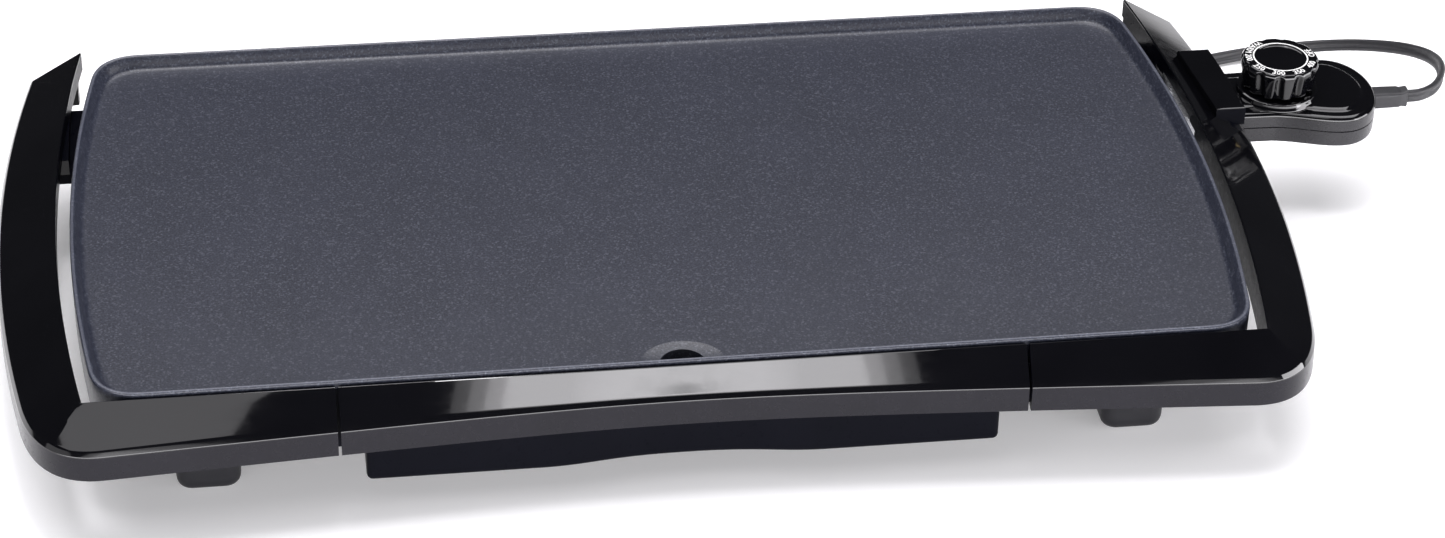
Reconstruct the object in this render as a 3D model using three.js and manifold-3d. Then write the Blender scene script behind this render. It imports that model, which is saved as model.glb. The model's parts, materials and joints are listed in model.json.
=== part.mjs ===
// Electric griddle: cast plate on a cool-touch frame, slide-out drip tray, plug-in heat control.
// Millimetres, +Z up. Shapes are drawn about the centre of the plate, with the floor at z = 0.
import * as THREE from 'three';
import { mergeVertices } from 'three/addons/utils/BufferGeometryUtils.js';
import Module from 'manifold-3d';

const wasm = await Module();
wasm.setup();

// ---------------------------------------------------------------- driving dimensions
const GAP = 0.3;                 // air between pieces that touch

// Cast aluminium plate, 20 in wide inside its rim, with bowed ends
const PLATE = {
  halfX: 260, halfY: 140.4, bow: 12, corner: 20,
  rimZ: 66, cookZ: 59.5, underZ: 56, skirtZ: 50, wall: 3,
};
const DRIP = { y: -131.5, r: 10, frontY: -136.6, dishX: 17, dishY: 14 };

// Cool-touch frame: a sloping facet that falls from a crest to an upright band
const CREST = { z: 64.6, endX: 266.3, endBow: 0.00055, endMidY: 10, frontY: -142.4, lipZ: 55, thick: 2.4 };
const BAND = {
  bottomZ: 37.4, topZ: 49.2, facetZ: 51.2, endX: 293.8, endBow: 0.00066, endMidY: 12, thick: 2.6,
};
const FRONT = { midY: 147.6, flare: 0.075, flareR: 80 };   // concave front outline of the band
const REAR_Y = { crest: 146.5, band: 143.5 };
const SEAM_X = 148.5;            // frame meets tray panel here
const SEAM_GAP = 1.3;
const SLIM_WIDTH = 12;           // widest section drawn with a slim back

// Under-structure
const TAB = { topZ: 48, botZ: 44 };
const RAIL = { topZ: TAB.botZ - GAP, botZ: 38, frontY: -64, rearY: 108, depth: 16, halfX: 230, screwX: 224 };
const FOOT = { x: 204, width: 28, depth: 30, frontY: -107, rearY: RAIL.rearY, round: 6 };
const SCREW = { r: 2, headR: 3.8, headH: 2.4, clear: 2.3 };
const SMALL_SCREW = { r: 1.4, headR: 3, headH: 1.6, clear: 1.7 };

// Drip tray
const TRAY = {
  halfX: 137, frontY: -147, backY: -77, floorZ: 18, rimZ: 41.6, wall: 2.4, recess: 4.6, recessX: 60,
};
const RUNNER = { width: 3.4, botZ: 39.4, topZ: 41.6 };

// Heat control, plugged in along the X axis of its probe
const CTRL = {
  y: 66.5, z: 49, noseX: 283, endX: 362, halfNose: 20, halfWaist: 22.5, halfEnd: 28.4,
  topZ: 56, botZ: 40, splitZ: 48.4, wall: 2.4,
};
const PORT = { half: 21.5, topZ: 57.4 };
const HOOD = { frontY: 41.2, midY: 69, rearY: 97.4, frontX: 277.4, rearX: 271.8, botZ: 56.6, topZ: 63.2 };
const PIN = { r: 2.8, spread: 12, fromX: 240.3, tipX: 277 };
const PROBE = { r: 3, tipX: 212, endX: 292 };
const KNOB = { x: 314, r: 19, baseR: 17, botZ: 60.6, topZ: 75, grooves: 12 };
const BOSS = { r: 20.6, topZ: 59.4 };
const RELIEF = { endX: 379.6, half: 4.6, height: 8.4 };

// Mains lead
const CORD = { r: 3.2, coilR: 33, coilX: 205, coilY: 186, coilTop: 13.4 };
const PLUG = { backX: 150, y: 152, z: 7.4, length: 30, width: 22, height: 14.4, bladeGap: 12.7 };

// ---------------------------------------------------------------- solid helpers
function toSolid(geometry) {
  const bare = geometry.clone();
  bare.deleteAttribute('normal');
  bare.deleteAttribute('uv');
  const merged = mergeVertices(bare, 1e-4);
  const vertProperties = new Float32Array(merged.attributes.position.array);
  const triVerts = new Uint32Array(merged.index.array);
  return new wasm.Manifold(new wasm.Mesh({ numProp: 3, vertProperties, triVerts }));
}

function toGeometry(solid) {
  const mesh = solid.getMesh();
  const geometry = new THREE.BufferGeometry();
  geometry.setAttribute('position', new THREE.BufferAttribute(new Float32Array(mesh.vertProperties), 3));
  geometry.setIndex(new THREE.BufferAttribute(new Uint32Array(mesh.triVerts), 1));
  geometry.computeVertexNormals();
  return geometry;
}

const cut = (body, ...tools) => toGeometry(tools.reduce((s, t) => s.subtract(toSolid(t)), toSolid(body)));
const join = (body, ...more) => toGeometry(more.reduce((s, t) => s.add(toSolid(t)), toSolid(body)));
const overlap = (a, b) => toGeometry(toSolid(a).intersect(toSolid(b)));

function box(x0, x1, y0, y1, z0, z1) {
  const geometry = new THREE.BoxGeometry(x1 - x0, y1 - y0, z1 - z0);
  return geometry.translate((x0 + x1) / 2, (y0 + y1) / 2, (z0 + z1) / 2);
}

function post(x, y, z0, z1, r, sides = 16) {
  const geometry = new THREE.CylinderGeometry(r, r, z1 - z0, sides);
  return geometry.rotateX(Math.PI / 2).translate(x, y, (z0 + z1) / 2);
}

function rod(x0, x1, y, z, r, sides = 16) {
  const geometry = new THREE.CylinderGeometry(r, r, x1 - x0, sides);
  return geometry.rotateZ(Math.PI / 2).translate((x0 + x1) / 2, y, z);
}

function prism(shape, z0, z1, curveSegments = 8) {
  const geometry = new THREE.ExtrudeGeometry(shape, { depth: z1 - z0, bevelEnabled: false, curveSegments });
  return geometry.translate(0, 0, z0);
}

function lathe(profile, x, y, sides = 24) {
  const points = profile.map(([r, z]) => new THREE.Vector2(r, z));
  return new THREE.LatheGeometry(points, sides).rotateX(Math.PI / 2).translate(x, y, 0);
}

function sweep(points, r, steps) {
  const section = new THREE.Shape();
  section.absarc(0, 0, r, 0, 2 * Math.PI);
  const path = new THREE.CatmullRomCurve3(points.map((p) => new THREE.Vector3(...p)), false, 'centripetal');
  return new THREE.ExtrudeGeometry(section, {
    steps, curveSegments: 4, extrudePath: path, bevelEnabled: false,
  });
}

// Closes a row of equal rings of [x, y, z] points into one skin with flat ends
function skin(rings) {
  const count = rings[0].length;
  const position = rings.flat(2);
  const index = [];
  for (let i = 0; i + 1 < rings.length; i += 1) {
    for (let j = 0; j < count; j += 1) {
      const a = i * count + j;
      const b = i * count + (j + 1) % count;
      index.push(a, b, a + count, b, b + count, a + count);
    }
  }
  const addCap = (ring, first, flip) => {
    const normal = ringNormal(ring);
    const flat = ring.map((p) => dropAxis(p, normal));
    for (const [a, b, c] of THREE.ShapeUtils.triangulateShape(flat, [])) {
      const turn = THREE.ShapeUtils.area([flat[a], flat[b], flat[c]]) * THREE.ShapeUtils.area(flat) > 0;
      index.push(...(turn === flip ? [first + a, first + c, first + b] : [first + a, first + b, first + c]));
    }
  };
  addCap(rings[0], 0, true);
  addCap(rings[rings.length - 1], (rings.length - 1) * count, false);
  const geometry = new THREE.BufferGeometry();
  geometry.setAttribute('position', new THREE.Float32BufferAttribute(position, 3));
  geometry.setIndex(signedVolume(position, index) < 0 ? reversed(index) : index);
  return geometry;
}

function ringNormal(ring) {
  const sum = new THREE.Vector3();
  const at = (i) => new THREE.Vector3(...ring[i % ring.length]);
  for (let i = 0; i < ring.length; i += 1) {
    sum.add(at(i).cross(at(i + 1)));
  }
  return sum;
}

function dropAxis([x, y, z], normal) {
  const size = [Math.abs(normal.x), Math.abs(normal.y), Math.abs(normal.z)];
  const axis = size.indexOf(Math.max(...size));
  return [new THREE.Vector2(y, z), new THREE.Vector2(z, x), new THREE.Vector2(x, y)][axis];
}

function signedVolume(position, index) {
  let volume = 0;
  const at = (i) => new THREE.Vector3(...position.slice(3 * i, 3 * i + 3));
  for (let i = 0; i < index.length; i += 3) {
    volume += at(index[i]).dot(at(index[i + 1]).cross(at(index[i + 2])));
  }
  return volume;
}

function reversed(index) {
  const out = [];
  for (let i = 0; i < index.length; i += 3) {
    out.push(index[i], index[i + 2], index[i + 1]);
  }
  return out;
}

// ---------------------------------------------------------------- materials
const finish = (color, roughness, metalness) => (
  new THREE.MeshStandardMaterial({ color, roughness, metalness }));
const COAT = finish(0x3b3d48, 0.55, 0.25);
const GLOSS = finish(0x08080a, 0.12, 0);
const SATIN = finish(0x1d1d24, 0.4, 0);
const RUBBER = finish(0x232327, 0.75, 0);
const STEEL = finish(0x9a9ca0, 0.35, 1);
const BRASS = finish(0xb08d4a, 0.35, 1);
const CERAMIC = finish(0xd8d2c4, 0.7, 0);
const PHENOLIC = finish(0x2a211c, 0.6, 0);

const root = new THREE.Group();

function piece(name, geometry, material) {
  const mesh = new THREE.Mesh(geometry, material);
  mesh.name = name;
  root.add(mesh);
}

// ---------------------------------------------------------------- plate
function plateShape(inset) {
  const endX = PLATE.halfX - inset;
  const sideY = PLATE.halfY - inset;
  const r = PLATE.corner - inset * 0.6;
  const turnY = sideY - r;
  const turnX = endX - PLATE.bow * (turnY / sideY) ** 2;
  const cornerX = turnX - (2 * PLATE.bow * turnY / sideY ** 2) * r;
  const shape = new THREE.Shape();
  shape.moveTo(-(cornerX - r), -sideY);
  shape.lineTo(cornerX - r, -sideY);
  shape.quadraticCurveTo(cornerX, -sideY, turnX, -turnY);
  shape.quadraticCurveTo(2 * endX - turnX, 0, turnX, turnY);
  shape.quadraticCurveTo(cornerX, sideY, cornerX - r, sideY);
  shape.lineTo(-(cornerX - r), sideY);
  shape.quadraticCurveTo(-cornerX, sideY, -turnX, turnY);
  shape.quadraticCurveTo(-(2 * endX - turnX), 0, -turnX, -turnY);
  shape.quadraticCurveTo(-cornerX, -sideY, -(cornerX - r), -sideY);
  return shape;
}

// Stacks plate outlines, given as [inset, z] pairs, into one closed solid
function plateStack(levels, divisions = 6) {
  const rings = levels.map(([inset, z]) => {
    const outline = plateShape(inset).getPoints(divisions);
    outline.pop();
    return outline.map((p) => [p.x, p.y, z]);
  });
  return skin(rings);
}

const PLATE_SPOTS = { left: [[236, 90], [180, -128]], right: [[236, 112], [180, -128]] };
const BOSS_SPOTS = [...PLATE_SPOTS.left.map(([x, y]) => [-x, y]), ...PLATE_SPOTS.right];
const GUARD_SPOTS = [[248, CTRL.y - 20], [248, CTRL.y + 20]];

// The heating element lies in a clinched groove: a U with its two legs at the control end
function elementPath() {
  const leg = PIN.spread;
  const z = 52.1;
  return [
    [240, CTRL.y - leg, CTRL.z], [232, CTRL.y - leg, CTRL.z + 0.6], [222, CTRL.y - leg - 2, z - 0.4],
    [206, CTRL.y - leg - 16, z], [196, 20, z], [190, -20, z], [184, -68, z], [160, -88, z], [120, -90, z],
    [0, -90, z], [-120, -90, z], [-180, -88, z], [-206, -60, z], [-212, 0, z], [-206, 60, z],
    [-180, 92, z], [-120, 97, z], [0, 97, z], [120, 97, z], [196, 92, z], [216, CTRL.y + leg + 4, z],
    [226, CTRL.y + leg + 0.6, z - 0.6], [233, CTRL.y + leg, CTRL.z + 0.6], [240, CTRL.y + leg, CTRL.z],
  ];
}

function makePlate() {
  const { rimZ, cookZ, underZ, skirtZ, wall } = PLATE;
  const blank = plateStack([[0.7, skirtZ], [0, skirtZ + 1.2], [0, rimZ - 1.2], [0.9, rimZ]]);
  const pan = plateStack([
    [1.5, rimZ + 1], [1.5, rimZ], [2.5, rimZ - 1.6], [3.5, cookZ + 1.8], [4.4, cookZ + 0.5], [6.4, cookZ],
  ]);
  const under = plateStack([[wall, skirtZ - 1], [wall, underZ]], 4);
  const dish = new THREE.SphereGeometry(1, 20, 10).rotateX(Math.PI / 2);
  dish.scale(DRIP.dishX + 1.2, DRIP.dishY + 1, 2.6).translate(0, DRIP.y, cookZ + 0.6);
  const drain = new THREE.Shape();
  drain.moveTo(-DRIP.r, DRIP.frontY);
  drain.lineTo(DRIP.r, DRIP.frontY);
  drain.lineTo(DRIP.r, DRIP.y);
  drain.absarc(0, DRIP.y, DRIP.r, 0, Math.PI);
  const spout = new THREE.Shape();
  spout.moveTo(-DRIP.r - 2, -139);
  spout.lineTo(DRIP.r + 2, -139);
  spout.lineTo(DRIP.r + 2, DRIP.y);
  spout.absarc(0, DRIP.y, DRIP.r + 2, 0, Math.PI);
  const limit = plateStack([[4.2, cookZ - 9], [4.2, cookZ + 20]], 4);
  const bosses = BOSS_SPOTS.map(([x, y]) => post(x, y, TAB.topZ + GAP, underZ + 1, 6, 12));
  const pilots = BOSS_SPOTS.map(([x, y]) => post(x, y, TAB.topZ - 1, underZ - 0.4, SCREW.clear, 8));
  const guardBosses = GUARD_SPOTS.map(([x, y]) => post(x, y, 46, underZ + 1, 4, 10));
  const guardPilots = GUARD_SPOTS.map(([x, y]) => post(x, y, 44, underZ - 1, SMALL_SCREW.clear, 8));
  const notch = box(246, 262, CTRL.y - 17, CTRL.y + 17, 48, 53);
  const hollow = cut(cut(blank, pan), under);
  const full = join(hollow, prism(spout, 52, underZ + 1, 6), ...bosses, ...guardBosses, ...elementRibs());
  const dished = cut(full, overlap(dish, limit));
  return cut(dished, prism(drain, 40, rimZ, 7), ...pilots, ...guardPilots, notch);
}

// Short saddles that hold the element against the underside of the plate
function elementRibs() {
  const spots = [[-120, -90], [0, -90], [120, -90], [-120, 97], [0, 97], [120, 97]];
  return spots.flatMap(([x, y]) => [-1, 1].map((side) => {
    const inner = y + side * 3.8;
    const outer = y + side * 7;
    return box(x - 9, x + 9, Math.min(inner, outer), Math.max(inner, outer), 49.5, PLATE.underZ + 1);
  }));
}

// ---------------------------------------------------------------- frame outlines
const endCrestX = (y) => CREST.endX - CREST.endBow * (y - CREST.endMidY) ** 2;
const endBandX = (y) => BAND.endX - BAND.endBow * (y - BAND.endMidY) ** 2;
const frontBandY = (x) => -(FRONT.midY + FRONT.flare * (Math.hypot(x, FRONT.flareR) - FRONT.flareR));

const bend = (a, control, b, t) => [0, 1].map((k) => (
  (1 - t) ** 2 * a[k] + 2 * t * (1 - t) * control[k] + t ** 2 * b[k]
));

// Matching points on the crest and the foot of the band, from the rear end round to the seam
function framePath() {
  const crestTurn = [endCrestX(-128), -128];
  const crestFront = [242, CREST.frontY];
  const bandTurn = [endBandX(-124), -124];
  const bandFront = [246, frontBandY(246)];
  const stations = [];
  for (let i = 0; i <= 9; i += 1) {
    const t = i / 9;
    const crestY = THREE.MathUtils.lerp(REAR_Y.crest, crestTurn[1], t);
    const bandY = THREE.MathUtils.lerp(REAR_Y.band, bandTurn[1], t);
    stations.push({ crest: [endCrestX(crestY), crestY], band: [endBandX(bandY), bandY] });
  }
  for (let i = 1; i <= 9; i += 1) {
    const t = i / 9;
    const crest = bend(crestTurn, [endCrestX(-142), CREST.frontY], crestFront, t);
    const band = bend(bandTurn, [endBandX(-161), frontBandY(270)], bandFront, t);
    stations.push({ crest, band });
  }
  for (let i = 1; i <= 3; i += 1) {
    const t = i / 3;
    const crestX = THREE.MathUtils.lerp(crestFront[0], SEAM_X, t);
    const bandX = THREE.MathUtils.lerp(bandFront[0], SEAM_X, t);
    stations.push({ crest: [crestX, CREST.frontY], band: [bandX, frontBandY(bandX)] });
  }
  return stations;
}

function panelPath() {
  const half = SEAM_X - SEAM_GAP;
  const stations = [];
  for (let i = 0; i <= 16; i += 1) {
    const x = half - 2 * half * i / 16;
    stations.push({ crest: [x, CREST.frontY], band: [x, frontBandY(x)] });
  }
  return stations;
}

// One cross-section of the moulding at a station. The inside of a "hollow" one rises behind the facet
// and comes down behind the crest's lip, a "slim" one stops at the lip, and a "solid" one is filled.
function section({ crest, band }, kind) {
  const width = Math.hypot(band[0] - crest[0], band[1] - crest[1]);
  const out = [(band[0] - crest[0]) / width, (band[1] - crest[1]) / width];
  const at = (distance, z) => [crest[0] + out[0] * distance, crest[1] + out[1] * distance, z];
  const inner = width - BAND.thick;
  const face = [
    at(0, CREST.z - 0.8), at(0.8, CREST.z), at(width - 3.6, BAND.facetZ + 0.4),
    at(width - 2.4, BAND.facetZ - 1), at(width - 1.7, BAND.topZ - 0.4), at(width, BAND.bottomZ),
  ];
  const slope = (BAND.facetZ + 0.4 - CREST.z) / (width - 4.4);
  const backs = {
    solid: [at(CREST.thick, BAND.bottomZ), at(CREST.thick, CREST.lipZ)],
    slim: [
      at(inner, BAND.bottomZ), at(Math.max(inner - 2.2, 0.6), BAND.topZ - 1),
      at(Math.max(inner - 3.4, 0.3), BAND.facetZ - 2.4),
      at(CREST.thick * inner / SLIM_WIDTH, CREST.lipZ - 1),
    ],
    hollow: [
      at(inner, BAND.bottomZ), at(inner - 2.2, BAND.topZ - 1), at(inner - 3.4, BAND.facetZ - 2.4),
      at(CREST.thick, CREST.z - BAND.thick - 0.6 + slope * CREST.thick), at(CREST.thick, CREST.lipZ),
    ],
  };
  return [...face, ...backs[kind], at(0, CREST.lipZ)];
}

const moulding = (stations, kind) => skin(stations.map((s) => section(s, kind)));

// The end frame without the parts that only one side has; drawn on the +X side
function frameShell() {
  const stations = framePath();
  const block = moulding(stations, 'solid');
  const seamWall = overlap(block, box(SEAM_X - 1, SEAM_X + 2.4, -175, -130, 30, 70));
  const inside = { crest: [endCrestX(144), 144], band: [endBandX(141), 141] };
  const rearWall = moulding([stations[0], inside], 'solid');
  const web = box(SEAM_X, 236, CREST.frontY - CREST.thick, CREST.frontY + 0.8, TAB.botZ, 58);
  const frontTab = box(SEAM_X + 3, 236, CREST.frontY, RAIL.frontY + RAIL.depth / 2, TAB.botZ, TAB.topZ);
  return join(moulding(stations, 'hollow'), seamWall, rearWall, web, frontTab);
}

const screwWay = (x, y, z0, z1) => post(x, y, z0, z1, SCREW.clear, 8);
const RAIL_SPOTS = [[RAIL.screwX, RAIL.frontY], [RAIL.screwX, RAIL.rearY]];
const GUIDE_SPOTS = [[157, -120], [157, -86]];
const tabWays = (plateSpots) => [...plateSpots, ...RAIL_SPOTS, ...GUIDE_SPOTS]
  .map(([x, y]) => screwWay(x, y, 30, 49.4));

// Bracket that reaches from the crest under the plate, where a screw holds the plate
function sideTab(y0, y1, x1) {
  return join(
    box(255, x1, y0, y1, TAB.botZ, TAB.topZ + 1),
    box(261.8, x1, y0, y1, TAB.botZ, 57),
    box(208, 262, y0, y1, TAB.botZ, TAB.topZ),
  );
}

function makeLeftFrame() {
  const body = join(frameShell(), sideTab(62, 119, 268.5));
  return mirrored(cut(body, ...tabWays(PLATE_SPOTS.left)));
}

function mirrored(geometry) {
  const copy = geometry.clone().scale(-1, 1, 1);
  copy.setIndex(reversed(Array.from(copy.index.array)));
  return copy;
}

// The right frame carries the raised hood over the control's socket
function makeRightFrame() {
  const tab = sideTab(97, 130, 268);
  const { frontY, midY, rearY, frontX, rearX } = HOOD;
  const hood = new THREE.Shape([
    [frontX, frontY], [endBandX(frontY) - 1.8, frontY], [endBandX(midY) - 1.4, midY],
    [endBandX(rearY) - 1.8, rearY], [rearX, rearY],
  ].map(([x, y]) => new THREE.Vector2(x, y)));
  const port = box(255, 300, CTRL.y - PORT.half, CTRL.y + PORT.half, 30, PORT.topZ);
  const body = join(frameShell(), tab, prism(hood, HOOD.botZ, HOOD.topZ));
  return cut(body, port, ...tabWays(PLATE_SPOTS.right));
}

// ---------------------------------------------------------------- base pieces
function makeRail(y) {
  const bar = box(-RAIL.halfX, RAIL.halfX, y - RAIL.depth / 2, y + RAIL.depth / 2, RAIL.botZ, RAIL.topZ);
  const channel = box(-190, 190, y - 4.5, y + 4.5, RAIL.botZ - 1, RAIL.topZ - 2.2);
  return cut(bar, channel, screwWay(-RAIL.screwX, y, 30, 50), screwWay(RAIL.screwX, y, 30, 50));
}

function makeFoot(x, y, topZ) {
  const w = FOOT.width / 2;
  const d = FOOT.depth / 2;
  const ring = (inset, z) => {
    const shape = new THREE.Shape();
    const r = FOOT.round;
    shape.moveTo(x - w + inset + r, y - d + inset);
    shape.lineTo(x + w - inset - r, y - d + inset);
    shape.quadraticCurveTo(x + w - inset, y - d + inset, x + w - inset, y - d + inset + r);
    shape.lineTo(x + w - inset, y + d - inset - r);
    shape.quadraticCurveTo(x + w - inset, y + d - inset, x + w - inset - r, y + d - inset);
    shape.lineTo(x - w + inset + r, y + d - inset);
    shape.quadraticCurveTo(x - w + inset, y + d - inset, x - w + inset, y + d - inset - r);
    shape.lineTo(x - w + inset, y - d + inset + r);
    shape.quadraticCurveTo(x - w + inset, y - d + inset, x - w + inset + r, y - d + inset);
    const outline = shape.getPoints(3);
    outline.pop();
    return outline.map((p) => [p.x, p.y, z]);
  };
  return skin([ring(3, 0), ring(1, 1.2), ring(0, 4), ring(0, topZ)]);
}

// Slotted screw driven from below: its head ends at headZ and its shaft at tipZ
function makeScrew(x, y, headZ, tipZ, { r, headR, headH } = SCREW) {
  const head = post(x, y, headZ - headH, headZ, headR, 12);
  const half = headR * 0.7;
  const slot = box(x - half, x + half, y - 0.5, y + 0.5, headZ - headH - 1, headZ - headH / 2);
  return cut(join(head, post(x, y, headZ - 0.5, tipZ, r, 8)), slot);
}

// C-shaped runner guide, opening towards the tray; side is -1 or 1
function makeGuide(side) {
  const z0 = RUNNER.botZ - GAP;
  const z1 = RUNNER.topZ + GAP;
  const y0 = -140;
  const y1 = RAIL.frontY - RAIL.depth / 2 - GAP;
  const x0 = TRAY.halfX + 1;
  const web = TRAY.halfX + RUNNER.width + GAP;
  const flange = box(x0, 164, y0, y1, z1, TAB.botZ - GAP);
  const upright = box(web, web + 2.4, y0, y1, z0 - 2.4, z1 + 0.5);
  const ledge = box(x0, web + 1, y0, y1, z0 - 2.4, z0);
  const guide = cut(join(flange, upright, ledge), ...GUIDE_SPOTS.map(([x, y]) => screwWay(x, y, 30, 50)));
  return side > 0 ? guide : mirrored(guide);
}

// ---------------------------------------------------------------- drip tray
function trayShape(inset) {
  const half = TRAY.halfX - inset;
  const front = TRAY.frontY + inset;
  const back = TRAY.backY - inset;
  const deep = front + TRAY.recess;
  const r = 3;
  const shape = new THREE.Shape();
  shape.moveTo(-half, front + r);
  shape.quadraticCurveTo(-half, front, -half + r, front);
  shape.lineTo(-TRAY.recessX, front);
  shape.bezierCurveTo(-TRAY.recessX + 26, front, -TRAY.recessX + 30, deep, 0, deep);
  shape.bezierCurveTo(TRAY.recessX - 30, deep, TRAY.recessX - 26, front, TRAY.recessX, front);
  shape.lineTo(half - r, front);
  shape.quadraticCurveTo(half, front, half, front + r);
  shape.lineTo(half, back);
  shape.lineTo(-half, back);
  return shape;
}

const TRAY_SCREWS = [[-100, -139.4], [100, -139.4]];

function makeTrayBody() {
  const { halfX, backY, floorZ, wall, rimZ } = TRAY;
  const shell = prism(trayShape(0), floorZ, BAND.bottomZ - GAP, 6);
  const upper = box(-halfX, halfX, -139, backY, BAND.bottomZ - 1, rimZ);
  const outX = halfX + RUNNER.width;
  const runner = (x0, x1) => box(x0, x1, -136, backY, RUNNER.botZ, RUNNER.topZ);
  const block = join(shell, upper, runner(halfX - 1, outX), runner(-outX, 1 - halfX));
  const hollow = cut(block, prism(trayShape(wall), floorZ + wall, rimZ + 1, 6));
  const ledgeTop = BAND.bottomZ - GAP;
  const ledges = TRAY_SCREWS.map(([x]) => box(x - 7, x + 7, TRAY.frontY + 1, -135, 34.4, ledgeTop));
  return cut(join(hollow, ...ledges), ...TRAY_SCREWS.map(([x, y]) => screwWay(x, y, 30, 50)));
}

function makeTrayPanel() {
  const stations = panelPath();
  const half = SEAM_X - SEAM_GAP;
  const block = moulding(stations, 'solid');
  const wall = (x0, x1) => overlap(block, box(x0, x1, -175, -130, 30, 70));
  const feet = TRAY_SCREWS.map(([x, y]) => (
    box(x - 6, x + 6, frontBandY(x) + 2, y + 4, BAND.bottomZ, BAND.bottomZ + 12)));
  const ribs = TRAY_SCREWS.map(([x]) => overlap(block, box(x - 6, x + 6, -175, -130, 30, 70)));
  const ends = [wall(half - 2.2, half + 1), wall(-half - 1, 2.2 - half)];
  const shell = join(moulding(stations, 'slim'), ...ends, ...ribs, ...feet);
  return cut(shell, ...TRAY_SCREWS.map(([x, y]) => screwWay(x, y, 30, BAND.bottomZ + 8)));
}

// ---------------------------------------------------------------- heating parts on the plate
function makeProbeGuard() {
  const { y, z } = CTRL;
  const outer = box(262.6, 279, y - 20.5, y + 20.5, 41, 57);
  const inner = box(263.8, 290, y - 19.3, y + 19.3, 42.2, 55.8);
  const flange = box(243, 264, y - 24.5, y + 24.5, 44.4, 45.7);
  const holes = [-PIN.spread, 0, PIN.spread].map((dy) => rod(255, 270, y + dy, z, PROBE.r + 0.5, 14));
  const ways = GUARD_SPOTS.map(([px, py]) => post(px, py, 40, 50, SMALL_SCREW.clear, 12));
  return cut(join(cut(outer, inner), flange), ...holes, ...ways);
}

const makePin = (dy) => join(
  rod(PIN.fromX, PIN.tipX - 1.5, CTRL.y + dy, CTRL.z, PIN.r, 14),
  rod(PIN.tipX - 2, PIN.tipX, CTRL.y + dy, CTRL.z, PIN.r - 0.7, 14),
);

// ---------------------------------------------------------------- heat control
function controlShape(inset) {
  const { y, noseX, endX } = CTRL;
  const nose = CTRL.halfNose - inset;
  const waist = CTRL.halfWaist - inset;
  const end = CTRL.halfEnd - inset;
  const tip = endX - inset;
  const shape = new THREE.Shape();
  shape.moveTo(noseX + inset, y - nose);
  shape.lineTo(308, y - nose - 0.6);
  shape.bezierCurveTo(320, y - waist + 0.4, 330, y - end, 341, y - end);
  shape.bezierCurveTo(tip - 8, y - end, tip, y - end * 0.55, tip, y);
  shape.bezierCurveTo(tip, y + end * 0.55, tip - 8, y + end, 341, y + end);
  shape.bezierCurveTo(330, y + end, 320, y + waist - 0.4, 308, y + nose + 0.6);
  shape.lineTo(noseX + inset, y + nose);
  return shape;
}

function controlStack(levels) {
  return skin(levels.map(([inset, z]) => {
    const outline = controlShape(inset).getPoints(5);
    return outline.map((p) => [p.x, p.y, z]);
  }));
}

const HOUSING_SCREWS = [[300, CTRL.y + 14], [346, CTRL.y - 14]];

function makeHousingTop() {
  const { y, z, topZ, splitZ, wall, endX } = CTRL;
  const shell = controlStack([[0, splitZ], [0, topZ - 2], [0.7, topZ - 0.6], [2.2, topZ]]);
  const crown = controlStack([[7, topZ - 1], [7, topZ + 0.6], [9, topZ + 1.2]]);
  const boss = lathe([
    [0, 54], [BOSS.r, 54], [BOSS.r, BOSS.topZ - 1], [BOSS.r - 1.2, BOSS.topZ], [0, BOSS.topZ],
  ], KNOB.x, y, 32);
  const hollow = controlStack([[wall, splitZ - 1], [wall, topZ - wall]]);
  const bosses = HOUSING_SCREWS.map(([px, py]) => post(px, py, splitZ + GAP, topZ - 1, 4.4, 14));
  const pilots = HOUSING_SCREWS.map(([px, py]) => post(px, py, 40, topZ - 2, SMALL_SCREW.clear, 10));
  const mouth = box(270, 292, y - 18.8, y + 18.8, 30, 54.9);
  const leadTop = z + RELIEF.height / 2 + GAP;
  const leadWay = box(endX - 12, endX + 10, y - RELIEF.half - GAP, y + RELIEF.half + GAP, 40, leadTop);
  const body = join(cut(join(shell, crown, boss), hollow), ...bosses);
  return cut(body, ...pilots, mouth, leadWay, post(KNOB.x, y, 50, 65, 3.4, 16));
}

function makeHousingBottom() {
  const { y, z, botZ, splitZ, wall, endX } = CTRL;
  const shell = controlStack([[1.2, botZ], [0, botZ + 1], [0, splitZ - GAP]]);
  const hollow = controlStack([[wall, botZ + wall], [wall, splitZ + 1]]);
  const bosses = HOUSING_SCREWS.map(([px, py]) => post(px, py, botZ + 0.5, splitZ - GAP, 4.4, 14));
  const ways = HOUSING_SCREWS.map(([px, py]) => post(px, py, 30, 60, SMALL_SCREW.clear, 10));
  const heads = HOUSING_SCREWS.map(([px, py]) => post(px, py, 30, botZ + 2, 3.4, 14));
  const mouth = box(270, 292, y - 18.8, y + 18.8, 43.1, 60);
  const leadFloor = z - RELIEF.height / 2 - GAP;
  const leadWay = box(endX - 12, endX + 10, y - RELIEF.half - GAP, y + RELIEF.half + GAP, leadFloor, 60);
  return cut(join(cut(shell, hollow), ...bosses), ...ways, ...heads, mouth, leadWay);
}

function makeInsulator() {
  const { y, z } = CTRL;
  const block = box(266.5, 290, y - 18.5, y + 18.5, 43.4, 54.6);
  const sleeves = [-PIN.spread, PIN.spread].map((dy) => rod(260, 284, y + dy, z, 4.4, 16));
  return cut(block, ...sleeves, rod(255, 300, y, z, PROBE.r + GAP, 16));
}

function makeSocket(dy) {
  const tube = rod(268, 283.6, CTRL.y + dy, CTRL.z, 4.1, 16);
  return cut(tube, rod(260, 281.6, CTRL.y + dy, CTRL.z, PIN.r + GAP, 16));
}

function makeProbe() {
  const { y, z } = CTRL;
  const roundX = PROBE.tipX + PROBE.r;
  const tip = new THREE.SphereGeometry(PROBE.r, 14, 10).rotateZ(Math.PI / 2).translate(roundX, y, z);
  return join(rod(roundX, PROBE.endX, y, z, PROBE.r, 14), tip);
}

const THERMO = { x0: 293, x1: 336 };

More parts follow.
